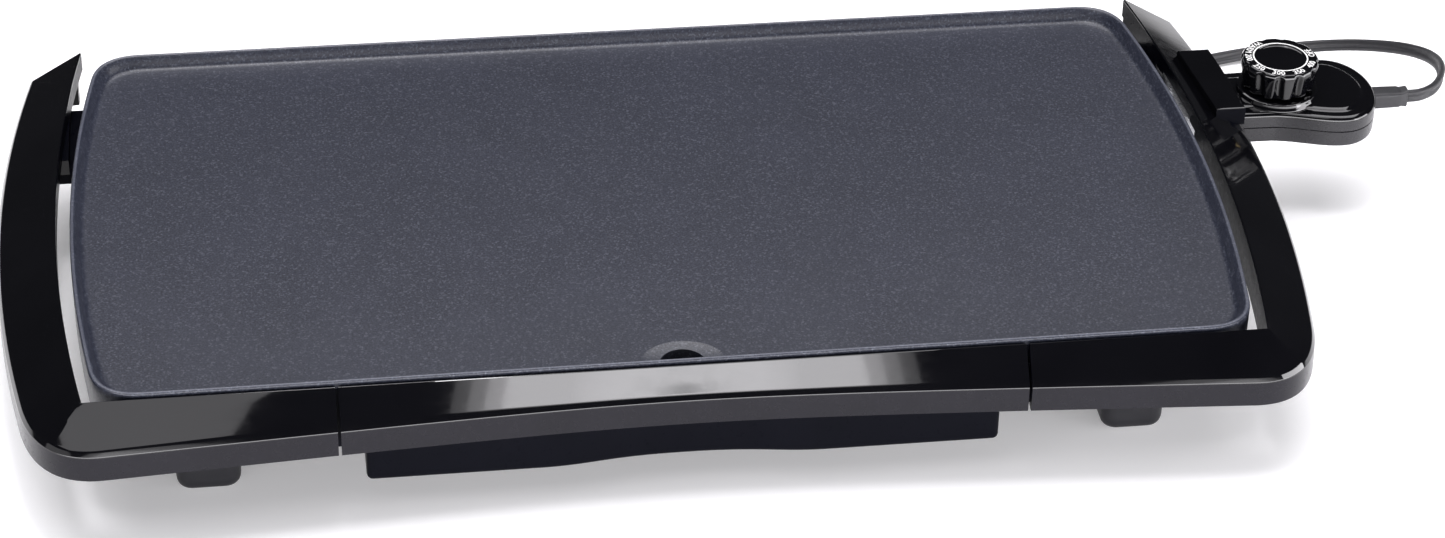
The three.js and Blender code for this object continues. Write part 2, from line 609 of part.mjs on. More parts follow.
// Carrier of the switch blades, standing on the floor of the housing under the knob
function makeThermostatFrame() {
  const { y } = CTRL;
  const floor = box(THERMO.x0, THERMO.x1, y - 9, y + 9, 42.7, 43.9);
  const rear = box(THERMO.x0, THERMO.x0 + 4, y - 9, y + 9, 43.5, 46);
  const bridge = join(
    box(KNOB.x - 8, KNOB.x + 8, y - 12, y - 10.6, 42.7, 53.2),
    box(KNOB.x - 8, KNOB.x + 8, y + 10.6, y + 12, 42.7, 53.2),
    box(KNOB.x - 8, KNOB.x + 8, y - 12, y + 12, 51.8, 53.2),
    box(KNOB.x - 8, KNOB.x + 8, y - 12, y + 12, 42.7, 43.9),
  );
  return cut(join(floor, rear, bridge), post(KNOB.x, y, 50, 60, 3.3, 16));
}

const makeFixedBlade = () => join(
  box(297.6, 330, CTRL.y - 4, CTRL.y + 4, 44.3, 44.9),
  post(326, CTRL.y, 44.6, 45.8, 2, 12),
);

const makeMovingBlade = () => join(
  box(297.6, 330, CTRL.y - 4, CTRL.y + 4, 47.1, 47.6),
  post(326, CTRL.y, 46.1, 47.4, 2, 12),
);

const makeBladeBlock = () => cut(
  box(297, 303, CTRL.y - 7, CTRL.y + 7, 44.2, 49.6),
  box(290, 310, CTRL.y - 4.3, CTRL.y + 4.3, 44, 45.2),
  box(290, 310, CTRL.y - 4.3, CTRL.y + 4.3, 46.8, 47.9),
);

const makeAdjuster = () => (
  lathe([[0, 48], [1.6, 48], [2.2, 48.6], [2.2, 50.2], [0, 50.2]], KNOB.x, CTRL.y, 14));

function makeDialShaft() {
  const profile = [
    [0, 51.6], [2.6, 51.6], [3, 52], [3, 62.4], [4.4, 62.4], [4.4, 68], [0, 68],
  ];
  return cut(lathe(profile, KNOB.x, CTRL.y, 20), box(KNOB.x + 3.4, KNOB.x + 6, 50, 90, 62.2, 69));
}

function makeKnob() {
  const { x, r, baseR, botZ, topZ, grooves } = KNOB;
  const shell = lathe([
    [0, botZ], [baseR - 0.8, botZ], [baseR, botZ + 0.8], [r - 0.4, topZ - 3], [r - 0.6, topZ - 1.4],
    [r - 2.2, topZ], [12.4, topZ], [12, topZ - 0.9], [0, topZ - 0.9],
  ], x, CTRL.y, 36);
  const notches = [];
  for (let i = 0; i < grooves; i += 1) {
    const groove = new THREE.CylinderGeometry(1.1, 2, 12, 8).rotateX(Math.PI / 2);
    groove.translate(r + 0.1, 0, botZ + 5.2).rotateZ(2 * Math.PI * i / grooves).translate(x, CTRL.y, 0);
    notches.push(groove);
  }
  const bore = cut(post(x, CTRL.y, botZ - 1, 68.4, 4.7, 20), box(x + 3.7, x + 6, 50, 90, 62.8, 69));
  const relief = post(x, CTRL.y, botZ - 1, botZ + 1.4, 13, 24);
  return cut(shell, ...notches, bore, relief);
}

function makeRelief() {
  const { y, z, endX } = CTRL;
  const half = RELIEF.half;
  const h = RELIEF.height / 2;
  const corners = [[-1, -1], [1, -1], [1, 1], [-1, 1]];
  const ring = (x, k) => corners.map(([a, b]) => [x, y + a * half * k, z + b * h * k]);
  const body = skin([ring(endX - 6, 1), ring(RELIEF.endX - 4, 1), ring(RELIEF.endX, 0.86)]);
  const collar = box(endX - 6, endX - 4.2, y - half - 1.6, y + half + 1.6, z - h + 0.4, z + h - 0.4);
  return cut(join(body, collar), rod(endX - 10, endX + 30, y, z, 1.2, 10));
}

// ---------------------------------------------------------------- mains lead
const FLOOR_Z = CORD.r + 0.1;
const LEAD_ROUTE = [
  [RELIEF.endX + 0.4, CTRL.y, CTRL.z], [386, 67, 49], [394.6, 73.2, 47.8], [402, 84.5, 45.4],
  [407.5, 97.5, 42.6], [410.6, 110.5, 39.2], [411.4, 123.5, 35.2], [409.6, 136, 31],
  [405.4, 148, 26.5], [399.2, 158.8, 22], [391.6, 168.4, 17.6], [383, 176.4, 13.6],
  [373, 183, 9.8], [362, 187.4, 6.8], [350, 189.4, 4.8], [337, 189.4, 3.7],
  [324, 187.2, FLOOR_Z], [311, 183.8, FLOOR_Z], [295, 178.8, FLOOR_Z], [279, 173.2, FLOOR_Z],
  [263, 167.2, FLOOR_Z], [248, 161.8, FLOOR_Z], [234, 157.4, FLOOR_Z],
];
const TAIL_ROUTE = [
  [176, 152.8, 9.8], [168, 152.6, 9], [161, 152.2, 7.9], [PLUG.backX + 4.6, PLUG.y, PLUG.z],
];

function makeCoil() {
  const { coilR, coilX, coilY, coilTop, r } = CORD;
  const half = r + 0.2;
  return lathe([
    [coilR - half, 1], [coilR - half + 1, 0], [coilR + half - 1, 0], [coilR + half, 1],
    [coilR + half, coilTop - 1], [coilR + half - 1, coilTop], [coilR - half + 1, coilTop],
    [coilR - half, coilTop - 1], [coilR - half, 1],
  ], coilX, coilY, 32);
}

function makePlug() {
  const { backX, y, z, length, width, height } = PLUG;
  const c = 2;
  const ring = (x, w, h) => [
    [-w + c, -h], [w - c, -h], [w, c - h], [w, h - c], [w - c, h], [c - w, h], [-w, h - c], [-w, c - h],
  ].map(([dy, dz]) => [x, y + dy, z + dz]);
  const w = width / 2;
  const h = height / 2;
  const body = skin([
    ring(backX + 4, 3.6, 3.8), ring(backX, 4.2, 4.2), ring(backX - 7, w - 1, h),
    ring(backX - length + 3, w, h), ring(backX - length, w, h),
  ]);
  const slots = [-1, 1].map((side) => {
    const by = y + side * PLUG.bladeGap / 2;
    return box(backX - length - 1, backX - length + 6, by - 1.1, by + 1.1, z - 3.5, z + 3.5);
  });
  return cut(body, ...slots);
}

function makeBlade(side) {
  const by = PLUG.y + side * PLUG.bladeGap / 2;
  const backX = PLUG.backX - PLUG.length;
  const blade = box(backX - 17, backX + 5.6, by - 0.75, by + 0.75, PLUG.z - 3.15, PLUG.z + 3.15);
  return cut(blade, post(0, 0, -2, 2, 1.6, 12).rotateX(Math.PI / 2).translate(backX - 13, by, PLUG.z));
}

// ---------------------------------------------------------------- assembly
piece('griddle_plate', makePlate(), COAT);
piece('heating_element', sweep(elementPath(), 3.25, 56), STEEL);
piece('terminal_pin_front', makePin(-PIN.spread), STEEL);
piece('terminal_pin_rear', makePin(PIN.spread), STEEL);
piece('probe_guard', makeProbeGuard(), STEEL);
GUARD_SPOTS.forEach(([x, y], i) => {
  piece(`guard_screw_${i + 1}`, makeScrew(x, y, 44.1, 54.6, SMALL_SCREW), STEEL);
});
piece('left_end_frame', makeLeftFrame(), GLOSS);
piece('right_end_frame', makeRightFrame(), GLOSS);
piece('front_cross_rail', makeRail(RAIL.frontY), SATIN);
piece('rear_cross_rail', makeRail(RAIL.rearY), SATIN);
piece('tray_guide_left', makeGuide(-1), SATIN);
piece('tray_guide_right', makeGuide(1), SATIN);

for (const [sideName, side] of [['left', -1], ['right', 1]]) {
  piece(`foot_front_${sideName}`, makeFoot(side * FOOT.x, FOOT.frontY, TAB.botZ - GAP), SATIN);
  piece(`foot_rear_${sideName}`, makeFoot(side * FOOT.x, FOOT.rearY, RAIL.botZ - GAP), SATIN);
  PLATE_SPOTS[sideName].forEach(([x, y], i) => {
    piece(`plate_screw_${sideName}_${i + 1}`, makeScrew(side * x, y, TAB.botZ - GAP, 54.8), STEEL);
  });
  RAIL_SPOTS.forEach(([x, y], i) => {
    piece(`rail_screw_${sideName}_${i + 1}`, makeScrew(side * x, y, RAIL.botZ - GAP, 47.6), STEEL);
  });
  GUIDE_SPOTS.forEach(([x, y], i) => {
    piece(`guide_screw_${sideName}_${i + 1}`, makeScrew(side * x, y, RUNNER.topZ, 47.6), STEEL);
  });
}

piece('drip_tray_body', makeTrayBody(), SATIN);
piece('drip_tray_panel', makeTrayPanel(), GLOSS);
TRAY_SCREWS.forEach(([x, y], i) => piece(`tray_screw_${i + 1}`, makeScrew(x, y, 34.4 - GAP, 44.6), STEEL));

piece('control_housing_top', makeHousingTop(), GLOSS);
piece('control_housing_bottom', makeHousingBottom(), SATIN);
HOUSING_SCREWS.forEach(([x, y], i) => {
  piece(`housing_screw_${i + 1}`, makeScrew(x, y, CTRL.botZ + 1.7, 53.6, SMALL_SCREW), STEEL);
});
piece('control_insulator', makeInsulator(), PHENOLIC);
piece('contact_socket_front', makeSocket(-PIN.spread), BRASS);
piece('contact_socket_rear', makeSocket(PIN.spread), BRASS);
piece('probe_stem', makeProbe(), STEEL);
piece('thermostat_frame', makeThermostatFrame(), STEEL);
piece('blade_block', makeBladeBlock(), CERAMIC);
piece('fixed_contact_blade', makeFixedBlade(), BRASS);
piece('moving_contact_blade', makeMovingBlade(), BRASS);
piece('contact_adjuster', makeAdjuster(), CERAMIC);
piece('dial_shaft', makeDialShaft(), BRASS);
piece('control_knob', makeKnob(), GLOSS);
piece('strain_relief', makeRelief(), RUBBER);
piece('power_cord', sweep(LEAD_ROUTE, CORD.r, 36), RUBBER);
piece('cord_coil', makeCoil(), RUBBER);
piece('cord_tail', sweep(TAIL_ROUTE, CORD.r, 4), RUBBER);
piece('power_plug', makePlug(), RUBBER);
piece('plug_blade_front', makeBlade(-1), BRASS);
piece('plug_blade_rear', makeBlade(1), BRASS);

// The origin is on the floor, under the middle of the appliance's box, leaving out the lead
const LEAD_NAMES = ['strain_relief', 'power_cord', 'cord_coil', 'cord_tail', 'power_plug',
  'plug_blade_front', 'plug_blade_rear'];
const bounds = new THREE.Box3();
const ownPieces = root.children.filter((mesh) => !LEAD_NAMES.includes(mesh.name));
ownPieces.forEach((mesh) => bounds.expandByObject(mesh));
const centre = bounds.getCenter(new THREE.Vector3());
root.position.set(-centre.x, -centre.y, 0);
root.updateMatrixWorld(true);

export default root;
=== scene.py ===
import json
import math

import bmesh
import bpy
from mathutils import Matrix, Vector


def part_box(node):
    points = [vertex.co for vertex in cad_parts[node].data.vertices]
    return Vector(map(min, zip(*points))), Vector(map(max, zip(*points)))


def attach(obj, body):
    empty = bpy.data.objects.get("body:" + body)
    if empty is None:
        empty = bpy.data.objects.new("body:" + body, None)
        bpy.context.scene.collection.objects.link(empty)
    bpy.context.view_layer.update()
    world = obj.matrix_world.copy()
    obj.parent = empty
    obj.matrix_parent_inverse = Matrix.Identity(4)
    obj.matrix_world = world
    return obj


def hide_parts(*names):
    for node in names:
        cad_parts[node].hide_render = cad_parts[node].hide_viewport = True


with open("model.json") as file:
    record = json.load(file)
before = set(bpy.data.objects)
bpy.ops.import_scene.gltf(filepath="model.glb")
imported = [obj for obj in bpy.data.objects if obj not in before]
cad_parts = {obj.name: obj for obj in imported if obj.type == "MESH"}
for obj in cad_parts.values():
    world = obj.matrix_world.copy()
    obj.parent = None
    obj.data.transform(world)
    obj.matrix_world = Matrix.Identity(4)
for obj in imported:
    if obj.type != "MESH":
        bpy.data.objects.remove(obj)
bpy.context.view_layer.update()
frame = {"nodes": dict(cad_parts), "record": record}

# Shapes are drawn in millimetres about the middle of the plate, with the floor at z = 0.
MM = 0.001
plate_low, plate_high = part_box("griddle_plate")
CENTRE = Vector(((plate_low.x + plate_high.x) / 2, (plate_low.y + plate_high.y) / 2, 0))
RIM_Z, SKIRT_Z = plate_high.z / MM, plate_low.z / MM


def place(point):
    """A point in millimetres about the plate, in the frame's metres."""
    return CENTRE + Vector(point) * MM


def node_mm(name):
    """Lowest and highest corner of a CAD node, in millimetres about the plate."""
    low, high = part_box(name)
    return (low - CENTRE) / MM, (high - CENTRE) / MM


# ---------------------------------------------------------------- camera
YAW, PITCH, ROLL = math.radians(8.52), math.radians(33.76), math.radians(1.35)
CAMERA_MM = (-174.7, -1405.1, 966.2)
LENS, SENSOR = 91.66, 36.0


def make_camera():
    """The photograph's camera, without depth of field or shift."""
    level_reach = math.cos(PITCH)
    forward = Vector((math.sin(YAW) * level_reach, math.cos(YAW) * level_reach, -math.sin(PITCH)))
    level = Vector((math.cos(YAW), -math.sin(YAW), 0))
    right = level * math.cos(ROLL) + level.cross(forward) * math.sin(ROLL)
    up = right.cross(forward)
    data = bpy.data.cameras.new("camera")
    data.lens, data.sensor_width = LENS, SENSOR
    data.clip_start, data.clip_end = 0.05, 50
    camera = bpy.data.objects.new("camera", data)
    bpy.context.scene.collection.objects.link(camera)
    turn = Matrix((right, up, -forward)).transposed().to_4x4()
    camera.matrix_world = Matrix.Translation(place(CAMERA_MM)) @ turn
    bpy.context.scene.camera = camera


make_camera()


# ---------------------------------------------------------------- mesh helpers
def new_object(name, data):
    made = bpy.data.objects.new(name, data)
    bpy.context.scene.collection.objects.link(made)
    return made


def loft(rings):
    """Vertices and faces of a closed skin over equal rings of points."""
    count = len(rings[0])
    verts = [p for ring in rings for p in ring]
    faces = []
    for i in range(len(rings) - 1):
        for j in range(count):
            k = (j + 1) % count
            faces.append((i * count + j, i * count + k, (i + 1) * count + k, (i + 1) * count + j))
    faces.append(tuple(reversed(range(count))))
    faces.append(tuple(range((len(rings) - 1) * count, len(rings) * count)))
    return verts, faces


def merge(*parts):
    """One vertex and face list out of several."""
    verts, faces = [], []
    for part_verts, part_faces in parts:
        start = len(verts)
        verts.extend(part_verts)
        faces.extend(tuple(start + i for i in face) for face in part_faces)
    return verts, faces


def box(x0, x1, y0, y1, z0, z1):
    """An upright block between two corners."""
    ring = [(x0, y0), (x1, y0), (x1, y1), (x0, y1)]
    return loft([[(x, y, z) for x, y in ring] for z in (z0, z1)])


def lathe(profile, x, y, sides=96, radius=None):
    """Turns a profile of (radius, z) about an upright axis; radius(r, z, angle) may shape it."""
    rings = []
    for r, z in profile:
        ring = []
        for i in range(sides):
            a = 2 * math.pi * i / sides
            shaped = radius(r, z, a) if radius else r
            ring.append((x + shaped * math.cos(a), y + shaped * math.sin(a), z))
        rings.append(ring)
    return loft(rings)


def bezier(a, b, c, count):
    """Points along a quadratic curve, without its last point."""
    points = []
    for i in range(count):
        t = i / count
        k = ((1 - t) ** 2, 2 * t * (1 - t), t * t)
        points.append(tuple(k[0] * p + k[1] * q + k[2] * r for p, q, r in zip(a, b, c)))
    return points


def cubic(a, b, c, d, count):
    """Points along a cubic curve, without its last point."""
    points = []
    for i in range(count):
        t = i / count
        k = ((1 - t) ** 3, 3 * t * (1 - t) ** 2, 3 * t * t * (1 - t), t ** 3)
        points.append(tuple(sum(w * v for w, v in zip(k, values)) for values in zip(a, b, c, d)))
    return points


def line(a, b, count):
    """Evenly spaced points from a towards b, without b."""
    return [tuple(p + (q - p) * i / count for p, q in zip(a, b)) for i in range(count)]


def bare(name, shape):
    """A new object from vertices in millimetres and faces, with its normals turned outward."""
    mesh = bpy.data.meshes.new(name)
    verts, faces = shape
    mesh.from_pydata([place(v) for v in verts], [], faces)
    made = new_object(name, mesh)
    shaped = bmesh.new()
    shaped.from_mesh(mesh)
    bmesh.ops.remove_doubles(shaped, verts=shaped.verts, dist=1e-7)
    bmesh.ops.recalc_face_normals(shaped, faces=shaped.faces)
    shaped.to_mesh(mesh)
    shaped.free()
    return made


def shape_of(made):
    """Takes an object back to vertices in millimetres and faces, and removes it."""
    verts = [tuple((v.co - CENTRE) / MM) for v in made.data.vertices]
    faces = [tuple(p.vertices) for p in made.data.polygons]
    bpy.data.objects.remove(made)
    return verts, faces


def apply_modifiers(made):
    """Replaces an object's mesh with what its modifiers make of it."""
    graph = bpy.context.evaluated_depsgraph_get()
    mesh = bpy.data.meshes.new_from_object(made.evaluated_get(graph))
    made.modifiers.clear()
    made.data = mesh


def boolean(made, operation, *shapes):
    """Cuts or joins shapes, which are vertex and face lists, into an object."""
    tools = [bare(f"tool_{i}", shape) for i, shape in enumerate(shapes)]
    for tool in tools:
        step = made.modifiers.new("step", "BOOLEAN")
        step.operation, step.object, step.solver = operation, tool, "EXACT"
    apply_modifiers(made)
    for tool in tools:
        bpy.data.objects.remove(tool)


def dress(made, materials, body, stands_for, sharp, pick=None):
    """Shades a piece, gives it its materials, ties it to its CAD body and hides the CAD nodes it stands for.

    Edges above the angle sharp, in degrees, stay crisp. pick chooses a face's material from its middle.
    """
    for material in materials:
        made.data.materials.append(material)
    shaped = bmesh.new()
    shaped.from_mesh(made.data)
    bmesh.ops.remove_doubles(shaped, verts=shaped.verts, dist=2e-7)
    for face in shaped.faces:
        face.smooth = True
        face.material_index = pick((face.calc_center_median() - CENTRE) / MM) if pick else 0
    for edge in shaped.edges:
        edge.smooth = len(edge.link_faces) != 2 or edge.calc_face_angle() < math.radians(sharp)
    shaped.to_mesh(made.data)
    shaped.free()
    normals = made.modifiers.new("normals", "WEIGHTED_NORMAL")
    normals.keep_sharp = True
    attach(made, body)
    if stands_for:
        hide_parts(*stands_for)
    return made


# ---------------------------------------------------------------- materials
class Nodes:
    """A short way to wire a procedural material."""

    def __init__(self, name, **sockets):
        self.material = bpy.data.materials.new(name)
        self.material.use_nodes = True
        self.tree = self.material.node_tree
        self.shader = self.tree.nodes["Principled BSDF"]
        for socket, value in sockets.items():
            self.shader.inputs[socket.replace("_", " ")].default_value = value
        self.where = self.tree.nodes.new("ShaderNodeTexCoord").outputs["Object"]

    def link(self, source, target):
        self.tree.links.new(source, target)

    def noise(self, size_mm, detail, roughness=0.6, stretch=None):
        """Soft noise with features about size_mm across."""
        node = self.tree.nodes.new("ShaderNodeTexNoise")
        node.inputs["Scale"].default_value = 1 / (size_mm * MM)
        node.inputs["Detail"].default_value = detail
        node.inputs["Roughness"].default_value = roughness
        self.link(self.stretched(stretch) if stretch else self.where, node.inputs["Vector"])
        return node.outputs["Fac"]

    def stretched(self, factors):
        """The object's coordinates, scaled by a factor along each axis."""
        node = self.tree.nodes.new("ShaderNodeMapping")
        node.inputs["Scale"].default_value = factors
        self.link(self.where, node.inputs["Vector"])
        return node.outputs["Vector"]

    def cells(self, size_mm):
        """A random value for each cell about size_mm across."""
        node = self.tree.nodes.new("ShaderNodeTexVoronoi")
        node.inputs["Scale"].default_value = 1 / (size_mm * MM)
        self.link(self.where, node.inputs["Vector"])
        pick = self.tree.nodes.new("ShaderNodeSeparateColor")
        self.link(node.outputs["Color"], pick.inputs["Color"])
        return pick.outputs["Red"]

    def height(self):
        """Height above the floor, in metres."""
        node = self.tree.nodes.new("ShaderNodeSeparateXYZ")
        self.link(self.where, node.inputs["Vector"])
        return node.outputs["Z"]

    def ramp(self, source, *stops):
        """Colours between (position, colour) stops."""
        node = self.tree.nodes.new("ShaderNodeValToRGB")
        marks = node.color_ramp.elements
        while len(marks) < len(stops):
            marks.new(0.5)
        for mark, (at, colour) in zip(marks, stops):
            mark.position = at
            mark.color = (*colour, 1)
        self.link(source, node.inputs["Fac"])
        return node.outputs["Color"]

    def span(self, source, low, high, at=(0.3, 0.7)):
        """A value from low to high as the source goes between the two values of at."""
        node = self.tree.nodes.new("ShaderNodeMapRange")
        for socket, value in zip(("From Min", "From Max", "To Min", "To Max"), (*at, low, high)):
            node.inputs[socket].default_value = value
        self.link(source, node.inputs["Value"])
        return node.outputs["Result"]

    def add(self, a, b):
        node = self.tree.nodes.new("ShaderNodeMix")
        node.data_type, node.blend_type = "RGBA", "ADD"
        node.inputs["Factor"].default_value = 1.0
        self.link(a, node.inputs["A"])
        self.link(b, node.inputs["B"])
        return node.outputs["Result"]

    def bump(self, height, depth_mm, before=None):
        """A normal roughened to a depth, on top of an earlier one."""
        node = self.tree.nodes.new("ShaderNodeBump")
        node.inputs["Distance"].default_value = depth_mm * MM
        node.inputs["Strength"].default_value = 1
        self.link(height, node.inputs["Height"])
        if before:
            self.link(before, node.inputs["Normal"])
        return node.outputs["Normal"]

    def finish(self, colour, roughness, normal=None):
        """Wires the shader and hands back the material."""
        self.link(colour, self.shader.inputs["Base Color"])
        self.link(roughness, self.shader.inputs["Roughness"])
        if normal:
            self.link(normal, self.shader.inputs["Normal"])
        return self.material


BLACK = (0.0, 0.0, 0.0)


def coated_metal(name):
    """Dark slate non-stick coating with a fine orange peel, small bright flecks and a painted highlight
    along the rim's top.
    """
    nodes = Nodes(name, Specular_IOR_Level=0.5)
    cloud = nodes.noise(38, 2)
    base = nodes.ramp(cloud, (0.3, (0.0072, 0.0085, 0.0165)), (0.7, (0.0102, 0.0118, 0.0215)))
    grain = nodes.ramp(nodes.noise(0.9, 2, 0.7), (0.35, BLACK), (0.75, (0.027, 0.030, 0.038)))
    # Painted highlight: the rim's top is lightened to draw the light line along its edge.
    rim_highlight_mask = nodes.span(nodes.height(), 0, 1, ((RIM_Z - 0.35) * MM, (RIM_Z - 0.1) * MM))
    rim = nodes.ramp(rim_highlight_mask, (0.0, BLACK), (1.0, (0.04, 0.042, 0.05)))
    fleck = nodes.ramp(nodes.cells(0.8), (0.80, BLACK), (0.99, (0.036, 0.038, 0.044)))
    colour = nodes.add(nodes.add(nodes.add(base, grain), fleck), rim)
    roughness = nodes.span(nodes.noise(1.1, 2), 0.30, 0.42)
    fine = nodes.bump(nodes.noise(0.9, 3), 0.03)
    normal = nodes.bump(nodes.noise(4.5, 2), 0.03, fine)
    return nodes.finish(colour, roughness, normal)


def gloss_black(name):
    """Polished moulded plastic with a faint flow ripple and rubbed patches."""
    nodes = Nodes(name, Specular_IOR_Level=0.5, Coat_Weight=0.25, Coat_Roughness=0.04)
    flow = nodes.noise(60, 2)
    colour = nodes.ramp(flow, (0.3, (0.0012, 0.0012, 0.0018)), (0.7, (0.0022, 0.0022, 0.0030)))
    scuff = nodes.noise(9, 5, 0.7, (1, 3.5, 1))
    roughness = nodes.span(scuff, 0.045, 0.12)
    normal = nodes.bump(nodes.noise(26, 1), 0.035)
    return nodes.finish(colour, roughness, normal)


def satin(name, low, high, rough, grain_mm=0.5, depth_mm=0.02, shine=0.5):
    """Fine-grained moulded plastic, rubber or ceramic between two colours and two roughnesses."""
    nodes = Nodes(name, Specular_IOR_Level=shine)
    colour = nodes.ramp(nodes.noise(30, 3), (0.3, low), (0.7, high))
    roughness = nodes.span(nodes.noise(3, 3), *rough)
    normal = nodes.bump(nodes.noise(grain_mm, 2), depth_mm)
    return nodes.finish(colour, roughness, normal)


def bright_metal(name, low, high, rough, stretch):
    """Plated or drawn metal with fine lines along one direction."""
    nodes = Nodes(name, Metallic=1.0)
    colour = nodes.ramp(nodes.noise(6, 4, 0.6, stretch), (0.3, low), (0.7, high))
    roughness = nodes.span(nodes.noise(1.2, 3, 0.6, stretch), *rough)
    normal = nodes.bump(nodes.noise(0.5, 2, 0.6, stretch), 0.01)
    return nodes.finish(colour, roughness, normal)


def dial_paint(name):
    """Printed white with a slightly uneven cover."""
    nodes = Nodes(name)
    colour = nodes.ramp(nodes.noise(1.5, 3), (0.3, (0.78, 0.78, 0.76)), (0.7, (0.9, 0.9, 0.89)))
    return nodes.finish(colour, nodes.span(nodes.noise(2, 2), 0.35, 0.5))


def floor_paint(name):
    """Plain pale floor, which gives off a little light so that shadows stay pale."""
    nodes = Nodes(name, Specular_IOR_Level=0.2, Emission_Color=(1, 0.99, 1, 1), Emission_Strength=0.22)
    colour = nodes.ramp(nodes.noise(400, 2), (0.3, (0.90, 0.90, 0.905)), (0.7, (0.92, 0.92, 0.925)))
    return nodes.finish(colour, nodes.span(nodes.noise(200, 2), 0.55, 0.6))


COAT = coated_metal("nonstick_coating")
GLOSS = gloss_black("gloss_black_plastic")
BAND = satin("satin_band", (0.0030, 0.0026, 0.0052), (0.0045, 0.0040, 0.0072), (0.20, 0.30),
             0.6, 0.004, 0.27)
SIDE = satin("control_side", (0.0040, 0.0036, 0.0062), (0.0058, 0.0052, 0.0085), (0.24, 0.34),
             0.6, 0.004, 0.62)
# The tray's plastic, also used as painted shade on the mouldings' seam ends, inner faces and hood front.
TRAY_AND_SHADE = satin("tray_plastic_and_shade", (0.0011, 0.0013, 0.0030), (0.0018, 0.0020, 0.0042), (0.26, 0.36),
             0.6, 0.004, 0.05)
BASE = satin("base_plastic", (0.0045, 0.0045, 0.0065), (0.0070, 0.0070, 0.0095), (0.35, 0.5),
             0.6, 0.01, 0.4)
RUBBER = satin("cord_rubber", (0.012, 0.012, 0.014), (0.020, 0.020, 0.023), (0.42, 0.6), 0.4)
STEEL = bright_metal("plated_steel", (0.46, 0.47, 0.49), (0.60, 0.61, 0.63), (0.22, 0.4), (1, 6, 1))
BRASS = bright_metal("brass", (0.60, 0.44, 0.20), (0.74, 0.57, 0.30), (0.2, 0.36), (6, 1, 1))
PHENOLIC = satin("phenolic", (0.050, 0.034, 0.025), (0.075, 0.052, 0.038), (0.45, 0.6))
CERAMIC = satin("steatite", (0.62, 0.57, 0.48), (0.72, 0.68, 0.60), (0.6, 0.75))
PAINT = dial_paint("dial_paint")

SLOT_MATERIALS = {
    "coated_aluminium": COAT, "gloss_black": GLOSS, "satin_black": BASE, "rubber_black": RUBBER,
    "steel": STEEL, "brass": BRASS, "phenolic": PHENOLIC, "ceramic": CERAMIC,
}


def dress_cad_nodes():
    """Gives every CAD node that stays the procedural material of its slot."""
    slots = {row["node"]: row["material_slot"] for row in frame["record"]["subparts"]}
    for name, made in frame["nodes"].items():
        made.data.materials.clear()
        made.data.materials.append(SLOT_MATERIALS[slots[name]])


# ---------------------------------------------------------------- power lead
relief_low, relief_high = node_mm("strain_relief")
CORD_WIDTH, CORD_THICK = 6.5, 3.3
LYING_Z = 3.3  # the lead's middle where it stands on its edge on the floor
RELIEF_Y, RELIEF_Z = (relief_low.y + relief_high.y) / 2, (relief_low.z + relief_high.z) / 2
LEAD_ROUTE = [
    (relief_high.x + 0.4, RELIEF_Y, RELIEF_Z), (386, 67, 49), (394.6, 73.2, 47.8), (402, 84.5, 45.4),
    (407.5, 97.5, 42.6), (410.6, 110.5, 39.2), (411.4, 123.5, 35.2), (409.6, 136, 31),
    (405.4, 148, 26.5), (399.2, 158.8, 22), (391.6, 168.4, 17.6), (383, 176.4, 13.6),
    (373, 183, 9.8), (362, 187.4, 6.8), (350, 189.4, 4.8), (337, 189.4, 3.7),
    (324, 187.2, LYING_Z), (311, 183.8, LYING_Z), (295, 178.8, LYING_Z), (279, 173.2, LYING_Z),
    (263, 167.2, LYING_Z), (248, 161.8, LYING_Z), (234, 157.4, LYING_Z),
]
COIL_X, COIL_Y, COIL_R, COIL_TURNS, COIL_RISE = 205, 186, 33, 2, 6.7
TAIL_ROUTE = [(176, 152.8, 9.8), (168, 152.6, 9), (161, 152.2, 7.9), (154.6, 152, 7.4)]


def smooth_step(t):
    """Eases from 0 to 1 as t does, and holds at either side."""
    t = min(max(t, 0), 1)
    return t * t * (3 - 2 * t)


def coil_points():
    """Two turns, clockwise from the front; the second climbs onto the first before it meets the lead."""
    points = []
    per_turn = 48
    for i in range(COIL_TURNS * per_turn + 1):
        turned = i / per_turn
        angle = -math.pi / 2 - 2 * math.pi * turned
        z = LYING_Z + COIL_RISE * smooth_step((turned - 0.5) / 0.36)
        points.append((COIL_X + COIL_R * math.cos(angle), COIL_Y + COIL_R * math.sin(angle), z))
    return points


def rounded_path(points, per_span):
    """Centripetal Catmull-Rom curve through points."""
    places = [Vector(p) for p in points]
    places = [2 * places[0] - places[1], *places, 2 * places[-1] - places[-2]]
    path = []
    for a, b, c, d in zip(places, places[1:], places[2:], places[3:]):
        t1 = (b - a).length ** 0.5
        t2 = t1 + (c - b).length ** 0.5
        t3 = t2 + (d - c).length ** 0.5
        for i in range(per_span):
            t = t1 + (t2 - t1) * i / per_span
            ab = a * (t1 - t) / t1 + b * t / t1
            bc = b * (t2 - t) / (t2 - t1) + c * (t - t1) / (t2 - t1)
            cd = c * (t3 - t) / (t3 - t2) + d * (t - t2) / (t3 - t2)
            abc = ab * (t2 - t) / t2 + bc * t / t2
            bcd = bc * (t3 - t) / (t3 - t1) + cd * (t - t1) / (t3 - t1)
            path.append(abc * (t2 - t) / (t2 - t1) + bcd * (t - t1) / (t2 - t1))
    path.append(places[-2])
    return path


def lead_section():
    """Two round lobes side by side, as (across, through) offsets."""
    lobe = CORD_THICK / 2
    reach = CORD_WIDTH / 2 - lobe
    web, steps = 0.55, 10
    points = []
    for side in (1, -1):
        for i in range(steps + 1):
            a = (-0.5 + i / steps) * math.pi * 1.46
            points.append((side * (reach + lobe * math.cos(a)), side * lobe * math.sin(a)))
    return [(u, v if abs(u) > web else v * 0.8) for u, v in points]


def lean(at, total):
    """How far the lead's wide side leans from upright, in radians, at a distance along it."""
    return math.radians(58) * math.sin(math.pi * min(max((at - 12) / (total - 12), 0), 1)) ** 2


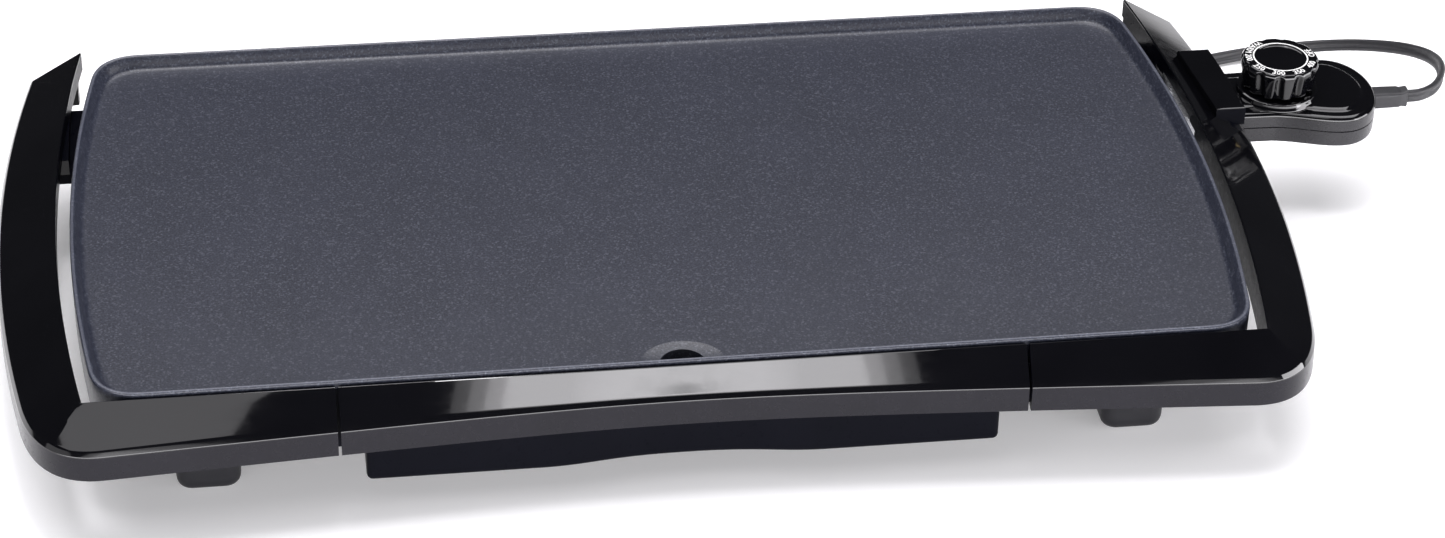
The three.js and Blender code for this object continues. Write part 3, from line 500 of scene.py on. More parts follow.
def make_lead():
    """The lead from the control round its coil to the plug: the piece, its path and its length in metres."""
    coil = coil_points()
    path = rounded_path(LEAD_ROUTE + coil[:1], 5)[:-1]
    free = sum((b - a).length for a, b in zip(path, path[1:]))
    path += [Vector(p) for p in coil[:-1]]
    path += rounded_path(coil[-1:] + TAIL_ROUTE, 4)
    rings = []
    travelled = 0
    for i, point in enumerate(path):
        before, after = path[max(i - 1, 0)], path[min(i + 1, len(path) - 1)]
        travelled += (point - before).length
        along = (after - before).normalized()
        side = along.cross(Vector((0, 0, 1))).normalized()
        up = side.cross(along).normalized()
        tip = lean(travelled, free * 0.9) if travelled < free * 0.9 else 0
        wide = up * math.cos(tip) + side * math.sin(tip)
        thin = wide.cross(along)
        rings.append([tuple(point + wide * u + thin * v) for u, v in lead_section()])
    length = sum((b - a).length for a, b in zip(path, path[1:])) * MM
    made = bare("power_lead", loft(rings))
    nodes = ("power_cord", "cord_coil", "cord_tail")
    dress(made, [RUBBER], "heat_control", nodes, sharp=50)
    return made, path, length


lead, lead_path, lead_length = make_lead()


def superellipse(half_y, half_z, power):
    """A rounded rectangle's outline, squarer as the power grows."""
    sides = 40
    points = []
    for i in range(sides):
        a = 2 * math.pi * i / sides
        c, s = math.cos(a), math.sin(a)
        points.append((half_y * math.copysign(abs(c) ** (2 / power), c),
                       half_z * math.copysign(abs(s) ** (2 / power), s)))
    return points


def along_x(stations, y, z, power):
    """A closed skin over cross-sections given as (x, half width, half height)."""
    return loft([[(x, y + dy, z + dz) for dy, dz in superellipse(w, h, power)] for x, w, h in stations])


def make_relief():
    """The block that holds the lead in the control, with a tapered end and a collar inside the housing."""
    x0, x1 = relief_low.x, relief_high.x
    wall = node_mm("control_housing_top")[1].x
    half, high = 4.6, (relief_high.z - relief_low.z) / 2
    stations = [(x0, half - 0.4, high - 0.4), (x0 + 0.4, half, high), (wall + 1.0, half, high)]
    stations += [(x1 - 4.6, half - 0.15, high - 0.2), (x1 - 3.4, half - 0.5, high - 0.6)]
    stations += [(x1 - 0.4, 3.2, 4.6), (x1, 2.6, 4.2)]
    collar_ends = [(x, half + 1.5, high - 0.4) for x in (wall - 6, wall - 4.3)]
    collar = along_x(collar_ends, RELIEF_Y, RELIEF_Z, 8)
    made = bare("cord_strain_relief", merge(along_x(stations, RELIEF_Y, RELIEF_Z, 6), collar))
    return dress(made, [RUBBER], "heat_control", ["strain_relief"], sharp=35)


def make_plug():
    """A two-blade plug with a ribbed grip, open where its blades go in."""
    low, high = node_mm("power_plug")
    y, z = (low.y + high.y) / 2, (low.z + high.z) / 2
    w, h = (high.y - low.y) / 2, (high.z - low.z) / 2
    front, back = low.x, high.x
    stations = [(front, w - 1.2, h - 1.2), (front + 0.5, w - 0.3, h - 0.3), (front + 1.4, w, h)]
    stations += [(front + 8, w, h), (front + 10, w - 0.8, h - 0.6), (front + 11.5, w - 1.6, h - 1)]
    for i in range(4):
        x = front + 12.5 + 2.6 * i
        slim = 1.7 + 0.9 * i
        stations += [
            (x, w - slim, h - 1.1 - 0.25 * i), (x + 0.5, w - slim - 0.7, h - 1.7 - 0.25 * i),
            (x + 1.3, w - slim - 0.7, h - 1.7 - 0.25 * i), (x + 1.8, w - slim - 0.2, h - 1.2 - 0.25 * i),
        ]
    stations += [(back - 8, 4.6, 4.5), (back - 3, 4.1, 4.1), (back - 0.4, 3.7, 3.8), (back, 3.3, 3.5)]
    made = bare("mains_plug", along_x(stations, y, z, 4.5))
    slots = []
    for name in ("plug_blade_front", "plug_blade_rear"):
        blade_low, blade_high = node_mm(name)
        slots.append(box(front - 1, blade_high.x + 0.4, blade_low.y - 0.3, blade_high.y + 0.3,
                         blade_low.z - 0.3, blade_high.z + 0.3))
    boolean(made, "DIFFERENCE", *slots)
    return dress(made, [RUBBER], "heat_control", ["power_plug"], sharp=35)


relief = make_relief()
plug = make_plug()

# ---------------------------------------------------------------- plate
PLATE_X, PLATE_Y = (plate_high.x - plate_low.x) / 2 / MM, (plate_high.y - plate_low.y) / 2 / MM
COOK_Z, UNDER_Z = 59.5, 56
BOW, CORNER = 12, 20
DRAIN_R, DRAIN_Y, DRAIN_FRONT = 10, -131.5, -136.6


def plate_outline(inset):
    """The plate's outline: straight long sides, bowed ends, rounded corners."""
    end_x, side_y = PLATE_X - inset, PLATE_Y - inset
    r = CORNER - 0.6 * inset
    turn_y = side_y - r
    turn_x = end_x - BOW * (turn_y / side_y) ** 2
    corner_x = turn_x - 2 * BOW * turn_y / side_y ** 2 * r
    straight = corner_x - r
    half = line((0, -side_y), (straight, -side_y), 16)
    half += bezier((straight, -side_y), (corner_x, -side_y), (turn_x, -turn_y), 16)
    half += bezier((turn_x, -turn_y), (2 * end_x - turn_x, 0), (turn_x, turn_y), 36)
    half += bezier((turn_x, turn_y), (corner_x, side_y), (straight, side_y), 16)
    half += line((straight, side_y), (0, side_y), 16)
    return half + [(-x, -y) for x, y in half]


def plate_stack(levels):
    """A skin over the plate's outline at (inset, height) levels."""
    return loft([[(x, y, z) for x, y in plate_outline(inset)] for inset, z in levels])


def drain_arc(r):
    """The rear half of a circle about the drain."""
    angles = [math.pi * i / 32 for i in range(33)]
    return [(r * math.cos(a), DRAIN_Y + r * math.sin(a)) for a in angles]


def make_plate():
    """The cast plate with its rim, skirt and dished drain."""
    levels = [
        (30, COOK_Z), (7.4, COOK_Z), (6.2, COOK_Z + 0.1), (5.3, COOK_Z + 0.42), (4.6, COOK_Z + 1.0),
        (4.1, COOK_Z + 1.8), (3.6, COOK_Z + 3.0), (3.0, COOK_Z + 4.3), (2.5, COOK_Z + 5.2),
        (2.05, RIM_Z - 0.55), (1.6, RIM_Z - 0.15), (1.1, RIM_Z), (0.6, RIM_Z - 0.12), (0.2, RIM_Z - 0.5),
        (0, RIM_Z - 1.1), (0, SKIRT_Z + 0.8), (0.3, SKIRT_Z + 0.2), (0.9, SKIRT_Z), (2.3, SKIRT_Z),
        (2.9, SKIRT_Z + 0.5), (3.0, UNDER_Z - 1.4), (3.4, UNDER_Z - 0.4), (4.4, UNDER_Z), (30, UNDER_Z),
    ]
    made = bare("cooking_plate", plate_stack(levels))
    arc = [math.pi * i / 24 for i in range(1, 24)]
    verts, faces = lathe([(math.sin(a), -math.cos(a)) for a in arc], 0, 0)
    dish = [(x * 19, DRAIN_Y + y * 15.4, COOK_Z + 0.75 + z * 2.5) for x, y, z in verts]
    bowl = bare("bowl", plate_stack([(4.5, COOK_Z - 8), (4.5, COOK_Z + 20)]))
    boolean(bowl, "INTERSECT", (dish, faces))
    drain = [(-DRAIN_R, DRAIN_FRONT), (DRAIN_R, DRAIN_FRONT), *drain_arc(DRAIN_R)]
    hole = loft([[(x, y, z) for x, y in drain] for z in (40, RIM_Z)])
    boolean(made, "DIFFERENCE", shape_of(bowl), hole)
    return made


def plate_fittings():
    """Bosses, saddles and the drain's spout under the plate."""
    shapes = []
    for name in frame["nodes"]:
        if name.startswith(("plate_screw", "guard_screw")):
            low, high = node_mm(name)
            x, y = (low.x + high.x) / 2, (low.y + high.y) / 2
            outer, start, bore = (6, low.z + 4.4, 2.1) if name.startswith("plate") else (4, 46, 1.6)
            profile = [(bore, UNDER_Z + 0.3), (bore, start + 0.3), (bore + 0.3, start), (outer - 0.4, start),
                       (outer, start + 0.4), (outer, UNDER_Z - 0.6), (outer + 0.8, UNDER_Z + 0.3)]
            shapes.append(lathe(profile, x, y, 40))
    for x in (-120, 0, 120):
        for y in (-90, 97):
            for side in (-1, 1):
                near, far = sorted((y + side * 3.8, y + side * 7))
                shapes.append(box(x - 9, x + 9, near, far, SKIRT_Z - 0.5, UNDER_Z + 0.4))
    inner, outer, front = DRAIN_R, DRAIN_R + 2, -139
    spout = [*drain_arc(outer), (-outer, front), (-inner, front)]
    spout += [*reversed(drain_arc(inner)), (inner, front), (outer, front)]
    shapes.append(loft([[(x, y, z) for x, y in spout] for z in (52, UNDER_Z + 0.4)]))
    return merge(*shapes)


plate = make_plate()
dress(plate, [COAT], "griddle", ["griddle_plate"], sharp=28)
fittings = bare("plate_fittings", plate_fittings())
dress(fittings, [COAT], "griddle", [], sharp=40)

# ---------------------------------------------------------------- frame mouldings
# The moulding runs from a crest beside the plate down a sloped facet to an upright band.
CREST_Z, CREST_X, CREST_BOW, CREST_MID, CREST_FRONT = 64.6, 266.3, 0.00055, 10, -141.7
LIP_Z, LIP, WALL = 55, 2.4, 2.6
BAND_Z, BAND_TOP, FACET_Z, BAND_X, BAND_BOW, BAND_MID = 37.4, 49.1, 51.8, 293.8, 0.00066, 12
FRONT_MID, FLARE, FLARE_R = 147.6, 0.075, 80
# Where the crest and the band end at the rear, turn the corner at the side, and leave it at the front.
REAR_CREST, REAR_BAND = 146.5, 143.5
SIDE_CREST, SIDE_BAND = -116, -124
FRONT_CREST, FRONT_BAND = 234, 246
SEAM_X, SEAM_GAP = 148.5, 1.3
HOOD_FRONT, HOOD_REAR, HOOD_FRONT_X, HOOD_REAR_X, HOOD_Z = 41.2, 97.4, 277.4, 271.8, 63.2


def crest_x(y):
    """How far out the side crest lies."""
    return CREST_X - CREST_BOW * (y - CREST_MID) ** 2


def band_x(y):
    """How far out the side band's foot lies."""
    return BAND_X - BAND_BOW * (y - BAND_MID) ** 2


def band_y(x):
    """Where the front band's foot lies; it comes forward towards both ends."""
    return -(FRONT_MID + FLARE * (math.hypot(x, FLARE_R) - FLARE_R))


def section(crest, band, slim):
    """The moulding's closed cross-section between a point on the crest and one at the band's foot."""
    out = Vector((band[0] - crest[0], band[1] - crest[1]))
    width = out.length
    out.normalize()
    inner = width - WALL
    top, foot, edge = (1.0, CREST_Z - 0.15), (width - 1.9, FACET_Z), (width - 0.55, BAND_TOP + 0.45)
    near = tuple(f + (e - f) * 0.04 for f, e in zip(foot, top))
    past = tuple(f + (e - f) * 0.3 for f, e in zip(foot, edge))
    front = [(0.3, LIP_Z), (0, LIP_Z + 0.3), (0, CREST_Z - 0.75), (0.12, CREST_Z - 0.35),
             (0.45, CREST_Z - 0.03), (0.72, CREST_Z)]
    front += line(top, near, 4) + bezier(near, foot, past, 4) + [past, edge]
    front += [(width - 0.42, BAND_TOP + 0.18), (width - 0.38, BAND_TOP - 0.2)]
    front += line((width - 0.37, BAND_TOP - 0.6), (width, BAND_Z + 0.7), 3)
    front += [(width, BAND_Z + 0.7), (width - 0.1, BAND_Z + 0.2), (width - 0.5, BAND_Z)]
    front += [(inner + 0.3, BAND_Z), (inner, BAND_Z + 0.2)]
    if slim:
        back = [(max(inner - 2.2, 0.6), BAND_TOP - 0.6), (max(inner - 3.4, 0.35), BAND_TOP),
                (LIP * inner / 12, LIP_Z - 1)]
    else:
        slope = (FACET_Z - CREST_Z) / (width - 4.4)
        back = [(inner - 2.2, BAND_TOP - 0.6), (inner - 3.4, BAND_TOP),
                (LIP, CREST_Z - WALL - 0.6 + slope * LIP), (LIP, LIP_Z + 0.3), (LIP - 0.3, LIP_Z)]
    return [(crest[0] + out.x * d, crest[1] + out.y * d, z) for d, z in front + back]


def frame_stations():
    """Crest and band points of an end frame, from its rear end round the mitre to the seam."""
    corner_x = crest_x(CREST_FRONT)
    turn, finish = (band_x(SIDE_BAND), SIDE_BAND), (FRONT_BAND, band_y(FRONT_BAND))
    arc = bezier(turn, (band_x(-161), band_y(270)), finish, 28) + [finish]
    stations = []
    for i in range(40):
        t = i / 40
        y, outer_y = REAR_CREST + (SIDE_CREST - REAR_CREST) * t, REAR_BAND + (SIDE_BAND - REAR_BAND) * t
        stations.append(((crest_x(y), y), (band_x(outer_y), outer_y)))
    for i in range(15):
        y = SIDE_CREST + (CREST_FRONT - SIDE_CREST) * i / 14
        stations.append(((crest_x(y), y), arc[i]))
    for i in range(1, 15):
        x = corner_x + (FRONT_CREST - corner_x) * i / 14
        stations.append(((x, CREST_FRONT), arc[14 + i]))
    for i in range(1, 19):
        t = i / 18
        crest, band = FRONT_CREST + (SEAM_X - FRONT_CREST) * t, FRONT_BAND + (SEAM_X - FRONT_BAND) * t
        stations.append(((crest, CREST_FRONT), (band, band_y(band))))
    return stations


def mirror(shape):
    """The same shape on the other side of the plate."""
    verts, faces = shape
    return [(-x, y, z) for x, y, z in verts], faces


def side_bracket(y0, y1, x1):
    """The arm that carries the moulding from under the plate, behind its end."""
    return [box(255, x1, y0, y1, 44, 49), box(261.8, x1, y0, y1, 44, 56.5), box(208, 262, y0, y1, 44, 48)]


RAIL_SPOTS, GUIDE_SPOTS = [(224, -64), (224, 108)], [(157, -120), (157, -86)]
SCREW_WAY = 2.3


def screw_hole(x, y, top):
    """The shape of a screw's way in from below."""
    return lathe([(SCREW_WAY, 30), (SCREW_WAY, top)], x, y, 24)


def closing_walls(stations):
    """Thin solid ends where a moulding stops, as closed shapes."""
    walls = []
    for (crest, band), (near_crest, near_band) in (stations[:2], stations[:-3:-1]):
        rings = []
        for t in (0.02, 0.5):
            c = [a + (b - a) * t for a, b in zip(crest, near_crest)]
            b = [p + (q - p) * t for p, q in zip(band, near_band)]
            out = Vector((b[0] - c[0], b[1] - c[1]))
            width = out.length
            out.normalize()
            profile = [(0.4, LIP_Z + 0.2), (0.4, CREST_Z - 1), (1.2, CREST_Z - 1), (width - 3.9, FACET_Z),
                       (width - 2.2, BAND_TOP - 0.4), (width - 0.6, BAND_Z + 0.3), (LIP, BAND_Z + 0.3),
                       (LIP, LIP_Z + 0.2)]
            rings.append([(c[0] + out.x * d, c[1] + out.y * d, z) for d, z in profile])
        walls.append(loft(rings))
    return walls


def end_frame(side, name, bracket, plate_spots, extra=()):
    """One end's moulding with its walls and screw ways; side is -1 for the left and 1 for the right."""
    stations = frame_stations()
    shell = loft([section(crest, band, False) for crest, band in stations])
    front_wall = box(SEAM_X + 0.5, 236, CREST_FRONT - LIP + 0.3, CREST_FRONT + 0.8, 44, 57.5)
    shelf = box(SEAM_X + 3, 236, CREST_FRONT + 0.3, -56, 44, 48)
    seam_strip = box(SEAM_X - 4, SEAM_X + 6, CREST_FRONT + 0.25, CREST_FRONT + 0.85, 33, 62.5)
    parts = [shell, *closing_walls(stations), *bracket, front_wall, shelf, seam_strip, *extra]
    ways = [screw_hole(x, y, 49.4) for x, y in (*plate_spots, *RAIL_SPOTS, *GUIDE_SPOTS)]
    if side < 0:
        parts, ways = [mirror(p) for p in parts], [mirror(w) for w in ways]
    made = bare(name, parts[0])
    boolean(made, "UNION", *parts[1:])
    boolean(made, "DIFFERENCE", *ways)
    return made


def moulding_finish_and_shade(place_mm):
    """0 on the polished faces, 1 on the satin band round their foot, 2 on the inner faces under the crest,
    the seam ends and the hood's front wall, where the dull dark tray plastic is painted shade.
    """
    x, y, z = abs(place_mm.x), place_mm.y, place_mm.z
    # Painted shade: the seam ends, the faces under the crest and the hood's front wall take the dull dark
    # tray plastic.
    if min(abs(x - SEAM_X), abs(x - SEAM_X + SEAM_GAP)) < 0.02:
        return 2
    if x < crest_x(y) + 0.3 and y > CREST_FRONT - 0.2 and z < CREST_Z - 1:
        return 2
    if place_mm.x > HOOD_REAR_X and abs(y - HOOD_FRONT) < 0.3:
        return 2
    outward = x > 250 or y < CREST_FRONT - 3
    return 1 if outward and BAND_Z + 0.05 < z < BAND_TOP - 0.05 else 0


def dress_moulding(made, body, node):
    dress(made, [GLOSS, BAND, TRAY_AND_SHADE], body, [node], sharp=32, pick=moulding_finish_and_shade)


left = end_frame(-1, "left_handle_frame", side_bracket(62, 119, 268.5), [(236, 90), (180, -128)])
dress_moulding(left, "griddle", "left_end_frame")

control_low, control_high = node_mm("control_housing_top")
CONTROL_Y = (control_low.y + control_high.y) / 2


def hood():
    """The raised cover over the control's socket, with softened top edges."""
    rings = []
    for inset, z in ((0, 54), (0, HOOD_Z - 0.9), (0.25, HOOD_Z - 0.3), (0.9, HOOD_Z)):
        front, rear = HOOD_FRONT + inset, HOOD_REAR - inset
        outline = line((HOOD_FRONT_X + inset, front), (band_x(front) - 1.6 - inset, front), 6)
        for i in range(13):
            y = front + (rear - front) * i / 12
            outline.append((band_x(y) - 1.6 - inset, y))
        outline += line((HOOD_REAR_X + inset, rear), (HOOD_FRONT_X + inset, front), 6)
        rings.append([(x, y, z) for x, y in outline])
    return loft(rings)


def inner_wall(y0, y1):
    """A thin wall under the crest, from y0 to y1."""
    foot_z = 46
    rings = []
    for i in range(25):
        y = y0 + (y1 - y0) * i / 24
        near, far = crest_x(y) + 0.1, crest_x(y) + LIP - 0.2
        rings.append([(near, y, foot_z), (far, y, foot_z), (far, y, LIP_Z + 1), (near, y, LIP_Z + 1)])
    return loft(rings)


right = end_frame(1, "right_handle_frame", side_bracket(97, 130, 268), [(236, 112), (180, -128)],
                  [hood(), inner_wall(-138, 36), inner_wall(102, 145)])
boolean(right, "DIFFERENCE", box(255, 300, CONTROL_Y - 21.5, CONTROL_Y + 21.5, 30, 57.4))
dress_moulding(right, "griddle", "right_end_frame")


def make_panel():
    """The drip tray's front, the middle of the front moulding, with two screw blocks."""
    half = SEAM_X - SEAM_GAP
    stations = []
    for i in range(73):
        x = half - 2 * half * i / 72
        stations.append(((x, CREST_FRONT), (x, band_y(x))))
    made = bare("front_panel", loft([section(crest, band, True) for crest, band in stations]))
    blocks = []
    for name in ("tray_screw_1", "tray_screw_2"):
        low, high = node_mm(name)
        x, y = (low.x + high.x) / 2, (low.y + high.y) / 2
        block = bare("block", box(x - 6, x + 6, band_y(x) + 1.6, y + 4, BAND_Z + 0.05, BAND_Z + 12))
        boolean(block, "DIFFERENCE", screw_hole(x, y, BAND_Z + 8))
        blocks.append(shape_of(block))
    boolean(made, "UNION", *blocks)
    dress_moulding(made, "drip_tray", "drip_tray_panel")


make_panel()

# ---------------------------------------------------------------- drip tray
TRAY_X, TRAY_FRONT, TRAY_BACK = 137, -147, -77
TRAY_FLOOR, TRAY_RIM, TRAY_WALL = 18, 41.6, 2.4
RECESS, RECESS_X = 4.6, 60


def tray_outline(inset):
    """The tray's outline, with its front set back in the middle."""
    half, front, back = TRAY_X - inset, TRAY_FRONT + inset, TRAY_BACK - inset
    deep, r = front + RECESS, max(3.2 - inset, 0.8)
    side = line((-half, back), (-half, front + r), 8)
    side += bezier((-half, front + r), (-half, front), (-half + r, front), 8)
    side += line((-half + r, front), (-RECESS_X, front), 8)
    side += cubic((-RECESS_X, front), (-RECESS_X + 22, front + 0.6), (-RECESS_X + 26, deep), (0, deep), 24)
    other = [(-x, y) for x, y in reversed(side)]
    return side + [(0, deep)] + other


def make_tray():
    """The tray's shell, with a collar and runners that hang in the guides, and ledges for its screws."""
    top, floor = BAND_Z - 0.3, TRAY_FLOOR + TRAY_WALL
    levels = [
        (TRAY_WALL + 5, floor), (TRAY_WALL + 1, floor), (TRAY_WALL + 0.3, floor + 0.3),
        (TRAY_WALL, floor + 1), (TRAY_WALL, top - 0.2), (TRAY_WALL - 0.2, top), (0.3, top),
        (0, top - 0.3), (0, TRAY_FLOOR + 2.2),
        (0.25, TRAY_FLOOR + 1.1), (0.8, TRAY_FLOOR + 0.35), (1.7, TRAY_FLOOR), (5, TRAY_FLOOR),
    ]
    made = bare("drip_tray", loft([[(x, y, z) for x, y in tray_outline(inset)] for inset, z in levels]))
    inner, runner, collar_front = TRAY_X - TRAY_WALL, TRAY_X + 3.4, -139
    well = box(-inner, inner, collar_front + TRAY_WALL, TRAY_BACK - TRAY_WALL, 30, 50)
    collar = bare("collar", box(-TRAY_X, TRAY_X, collar_front, TRAY_BACK, top - 0.6, TRAY_RIM))
    boolean(collar, "DIFFERENCE", well)
    boolean(collar, "UNION", box(TRAY_X - 1, runner, -136, TRAY_BACK, 39.4, TRAY_RIM),
            box(-runner, 1 - TRAY_X, -136, TRAY_BACK, 39.4, TRAY_RIM))
    ledges = [box(x - 7, x + 7, TRAY_FRONT + 1, -135, 34.4, top - 0.1) for x in (-100, 100)]
    boolean(made, "UNION", shape_of(collar), *ledges)
    boolean(made, "DIFFERENCE", *[screw_hole(x, -139.4, 50) for x in (-100, 100)])
    dress(made, [TRAY_AND_SHADE], "drip_tray", ["drip_tray_body"], sharp=20)


make_tray()


# ---------------------------------------------------------------- feet
def make_foot(name, node):
    """A rounded post with a softened foot."""
    low, high = node_mm(node)
    x, y = (low.x + high.x) / 2, (low.y + high.y) / 2
    w, d = (high.x - low.x) / 2, (high.y - low.y) / 2
    levels = [(3, 0), (2, 0.12), (1.2, 0.6), (0.6, 1.6), (0.2, 3), (0, 5), (0, high.z - 0.3), (0.3, high.z)]
    rings = []
    for inset, z in levels:
        r = 6.5 - inset * 0.5
        a, b = w - inset - r, d - inset - r
        outline = []
        for cx, cy, start in ((a, b, 0), (-a, b, 90), (-a, -b, 180), (a, -b, 270)):
            for i in range(9):
                angle = math.radians(start + 90 * i / 8)
                outline.append((x + cx + r * math.cos(angle), y + cy + r * math.sin(angle), z))
        rings.append(outline)
    dress(bare(name, loft(rings)), [BASE], "griddle", [node], sharp=40)


for end in ("front", "rear"):
    for hand in ("left", "right"):
        make_foot(f"foot_{end}_{hand}_rubbed", f"foot_{end}_{hand}")

# ---------------------------------------------------------------- heat control
NOSE_X, TAIL_X = control_low.x, control_high.x
HALF_NOSE, HALF_WAIST, HALF_END = 20, 22.5, 28.4
SPLIT_Z, TOP_Z, BOTTOM_Z, SHELL, MOUTH = 48.4, 56, 40, 2.4, 18.8
knob_low, knob_high = node_mm("control_knob")
KNOB_X = (knob_low.x + knob_high.x) / 2


def control_outline(inset):
    """The control's outline: a straight nose, a waist and a round end."""
    nose, waist, end, tip = HALF_NOSE - inset, HALF_WAIST - inset, HALF_END - inset, TAIL_X - inset
    half = line((NOSE_X + inset, -nose), (308, -nose - 0.6), 6)
    half += cubic((308, -nose - 0.6), (320, -waist + 0.4), (330, -end), (341, -end), 18)
    half += cubic((341, -end), (tip - 8, -end), (tip, -end * 0.55), (tip, 0), 20)
    rear = [(x, -y) for x, y in reversed(half)]
    return [(x, CONTROL_Y + y) for x, y in half + [(tip, 0)] + rear]


def control_stack(levels):
    """A skin over the control's outline at (inset, height) levels."""
    return loft([[(x, y, z) for x, y in control_outline(inset)] for inset, z in levels])


def lead_way(z0, z1):
    """The way for the strain relief through the housing's end."""
    return box(TAIL_X - 12, TAIL_X + 10, CONTROL_Y - 4.9, CONTROL_Y + 4.9, z0, z1)


def make_housing_top():
    """The upper shell, with a raised field round its top and a stepped boss under the dial."""
    made = bare("control_cover", control_stack([
        (8, TOP_Z - SHELL), (SHELL + 0.4, TOP_Z - SHELL), (SHELL, TOP_Z - SHELL - 0.4), (SHELL, SPLIT_Z),
        (0.15, SPLIT_Z), (0, SPLIT_Z + 0.15), (0, TOP_Z - 2.4), (0.12, TOP_Z - 1.6), (0.5, TOP_Z - 0.8),
        (1.1, TOP_Z - 0.3), (1.9, TOP_Z - 0.05), (2.7, TOP_Z), (5.6, TOP_Z + 0.02), (6.3, TOP_Z + 0.2),
        (6.8, TOP_Z + 0.6), (7.4, TOP_Z + 0.95), (8.2, TOP_Z + 1.12), (9.2, TOP_Z + 1.15),
    ]))
    boss = lathe([(4, 54.5), (19.8, 54.5), (20.4, 56.1), (20.3, 56.5), (19.9, 57.1), (19.55, 57.8),
                  (19.4, 58.4), (19.1, 59.0), (18.5, 59.35), (17.9, 59.4), (4, 59.4)], KNOB_X, CONTROL_Y)
    boolean(made, "UNION", boss)
    mouth = box(270, 292, CONTROL_Y - MOUTH, CONTROL_Y + MOUTH, 30, 54.9)
    shaft_way = lathe([(3.4, 50), (3.4, 65)], KNOB_X, CONTROL_Y, 32)
    boolean(made, "DIFFERENCE", mouth, lead_way(40, RELIEF_Z + 4.5), shaft_way)
    dress(made, [GLOSS, SIDE], "heat_control", ["control_housing_top"], sharp=28,
          pick=lambda p: int(p.z < TOP_Z - 2.2 and p.x > NOSE_X + 1))


def make_housing_bottom():
    """The lower shell, with ways for its two screws."""
    made = bare("control_base", control_stack([
        (8, BOTTOM_Z + SHELL), (SHELL + 0.4, BOTTOM_Z + SHELL), (SHELL, BOTTOM_Z + SHELL + 0.4),
        (SHELL, SPLIT_Z - 0.3), (0.15, SPLIT_Z - 0.3), (0, SPLIT_Z - 0.45), (0, BOTTOM_Z + 1.8),
        (0.2, BOTTOM_Z + 0.9), (0.7, BOTTOM_Z + 0.3), (1.5, BOTTOM_Z), (8, BOTTOM_Z),
    ]))
    holes = []
    for name in ("housing_screw_1", "housing_screw_2"):
        low, high = node_mm(name)
        x, y = (low.x + high.x) / 2, (low.y + high.y) / 2
        holes += [lathe([(3.4, 30), (3.4, 42)], x, y, 32), lathe([(1.8, 30), (1.8, 60)], x, y, 20)]
    mouth = box(270, 292, CONTROL_Y - MOUTH, CONTROL_Y + MOUTH, 43.1, 60)
    boolean(made, "DIFFERENCE", *holes, mouth, lead_way(RELIEF_Z - 4.5, 60))
    dress(made, [SIDE], "heat_control", ["control_housing_bottom"], sharp=28)


make_housing_top()
make_housing_bottom()

# ---------------------------------------------------------------- dial
KNOB_R, KNOB_FOOT_R, KNOB_Z0, KNOB_Z1 = 19, 17.2, knob_low.z, knob_high.z
GROOVES = 12


def fluted(r, z, angle):
    """Narrow rounded flutes that deepen towards the foot of the dial."""
    if r < 15.5:
        return r
    turn = (angle * GROOVES / (2 * math.pi)) % 1
    near = abs(turn - 0.5) * 2 * math.pi * r / GROOVES
    width = 2.3 + 0.7 * (KNOB_Z1 - z) / (KNOB_Z1 - KNOB_Z0)
    depth = 0.55 + 1.15 * smooth_step((KNOB_Z1 - z) / 4)
    return r - depth * max(0, 1 - (near / width) ** 2) ** 1.5


def make_dial():
    """The dial, hollow for its shaft, with a sunk middle."""
    z0, z1 = KNOB_Z0, KNOB_Z1
    profile = [
        (8, z0 + 1.2), (13, z0 + 1.2), (13.3, z0 + 0.9), (13.6, z0), (KNOB_FOOT_R - 0.7, z0),
        (KNOB_FOOT_R - 0.2, z0 + 0.25), (KNOB_FOOT_R, z0 + 0.8),
    ]
    profile += line((KNOB_FOOT_R, z0 + 0.8), (KNOB_R - 0.35, z1 - 3), 8)
    profile += [
        (KNOB_R - 0.35, z1 - 3), (KNOB_R - 0.38, z1 - 2.2), (KNOB_R - 0.55, z1 - 1.3),
        (KNOB_R - 0.95, z1 - 0.6), (KNOB_R - 1.3, z1 - 0.2), (KNOB_R - 1.7, z1 - 0.03), (KNOB_R - 2.0, z1),
        (15.4, z1), (12.5, z1), (12.25, z1 - 0.12), (12.1, z1 - 0.5), (11.8, z1 - 0.8), (11.2, z1 - 0.9),
        (4, z1 - 0.82), (0.05, z1 - 0.8),
    ]
    made = bare("dial_knob", lathe(profile, KNOB_X, CONTROL_Y, 288, fluted))
    boolean(made, "DIFFERENCE", lathe([(4.7, z0 - 1), (4.7, 68.4)], KNOB_X, CONTROL_Y, 40))
    dress(made, [GLOSS], "dial", ["control_knob"], sharp=40)


# Each mark and where it stands round the dial, in degrees; the ring inside them is RING_SIDES faces round.
MARKS = (("WARM", 137), ("200", 176), ("250", 214), ("300", 252), ("350", 290), ("400", 327), ("OFF", 8))
MARK_R, MARK_SIZE, MARK_LIFT, RING_SIDES = 15.5, 4.3, 0.05, 128


def text_shape(words):
    """A word's own mesh, flat and centred, in millimetres."""
    data = bpy.data.curves.new("words", "FONT")
    data.body, data.size, data.align_x, data.align_y = words, MARK_SIZE, "CENTER", "CENTER"
    data.extrude, data.offset, data.resolution_u = 0.06, 0.05, 3
    holder = new_object("words", data)
    mesh = bpy.data.meshes.new_from_object(holder.evaluated_get(bpy.context.evaluated_depsgraph_get()))
    shape = [v.co.copy() for v in mesh.vertices], [tuple(p.vertices) for p in mesh.polygons]
    bpy.data.objects.remove(holder)
    bpy.data.meshes.remove(mesh)
    return shape


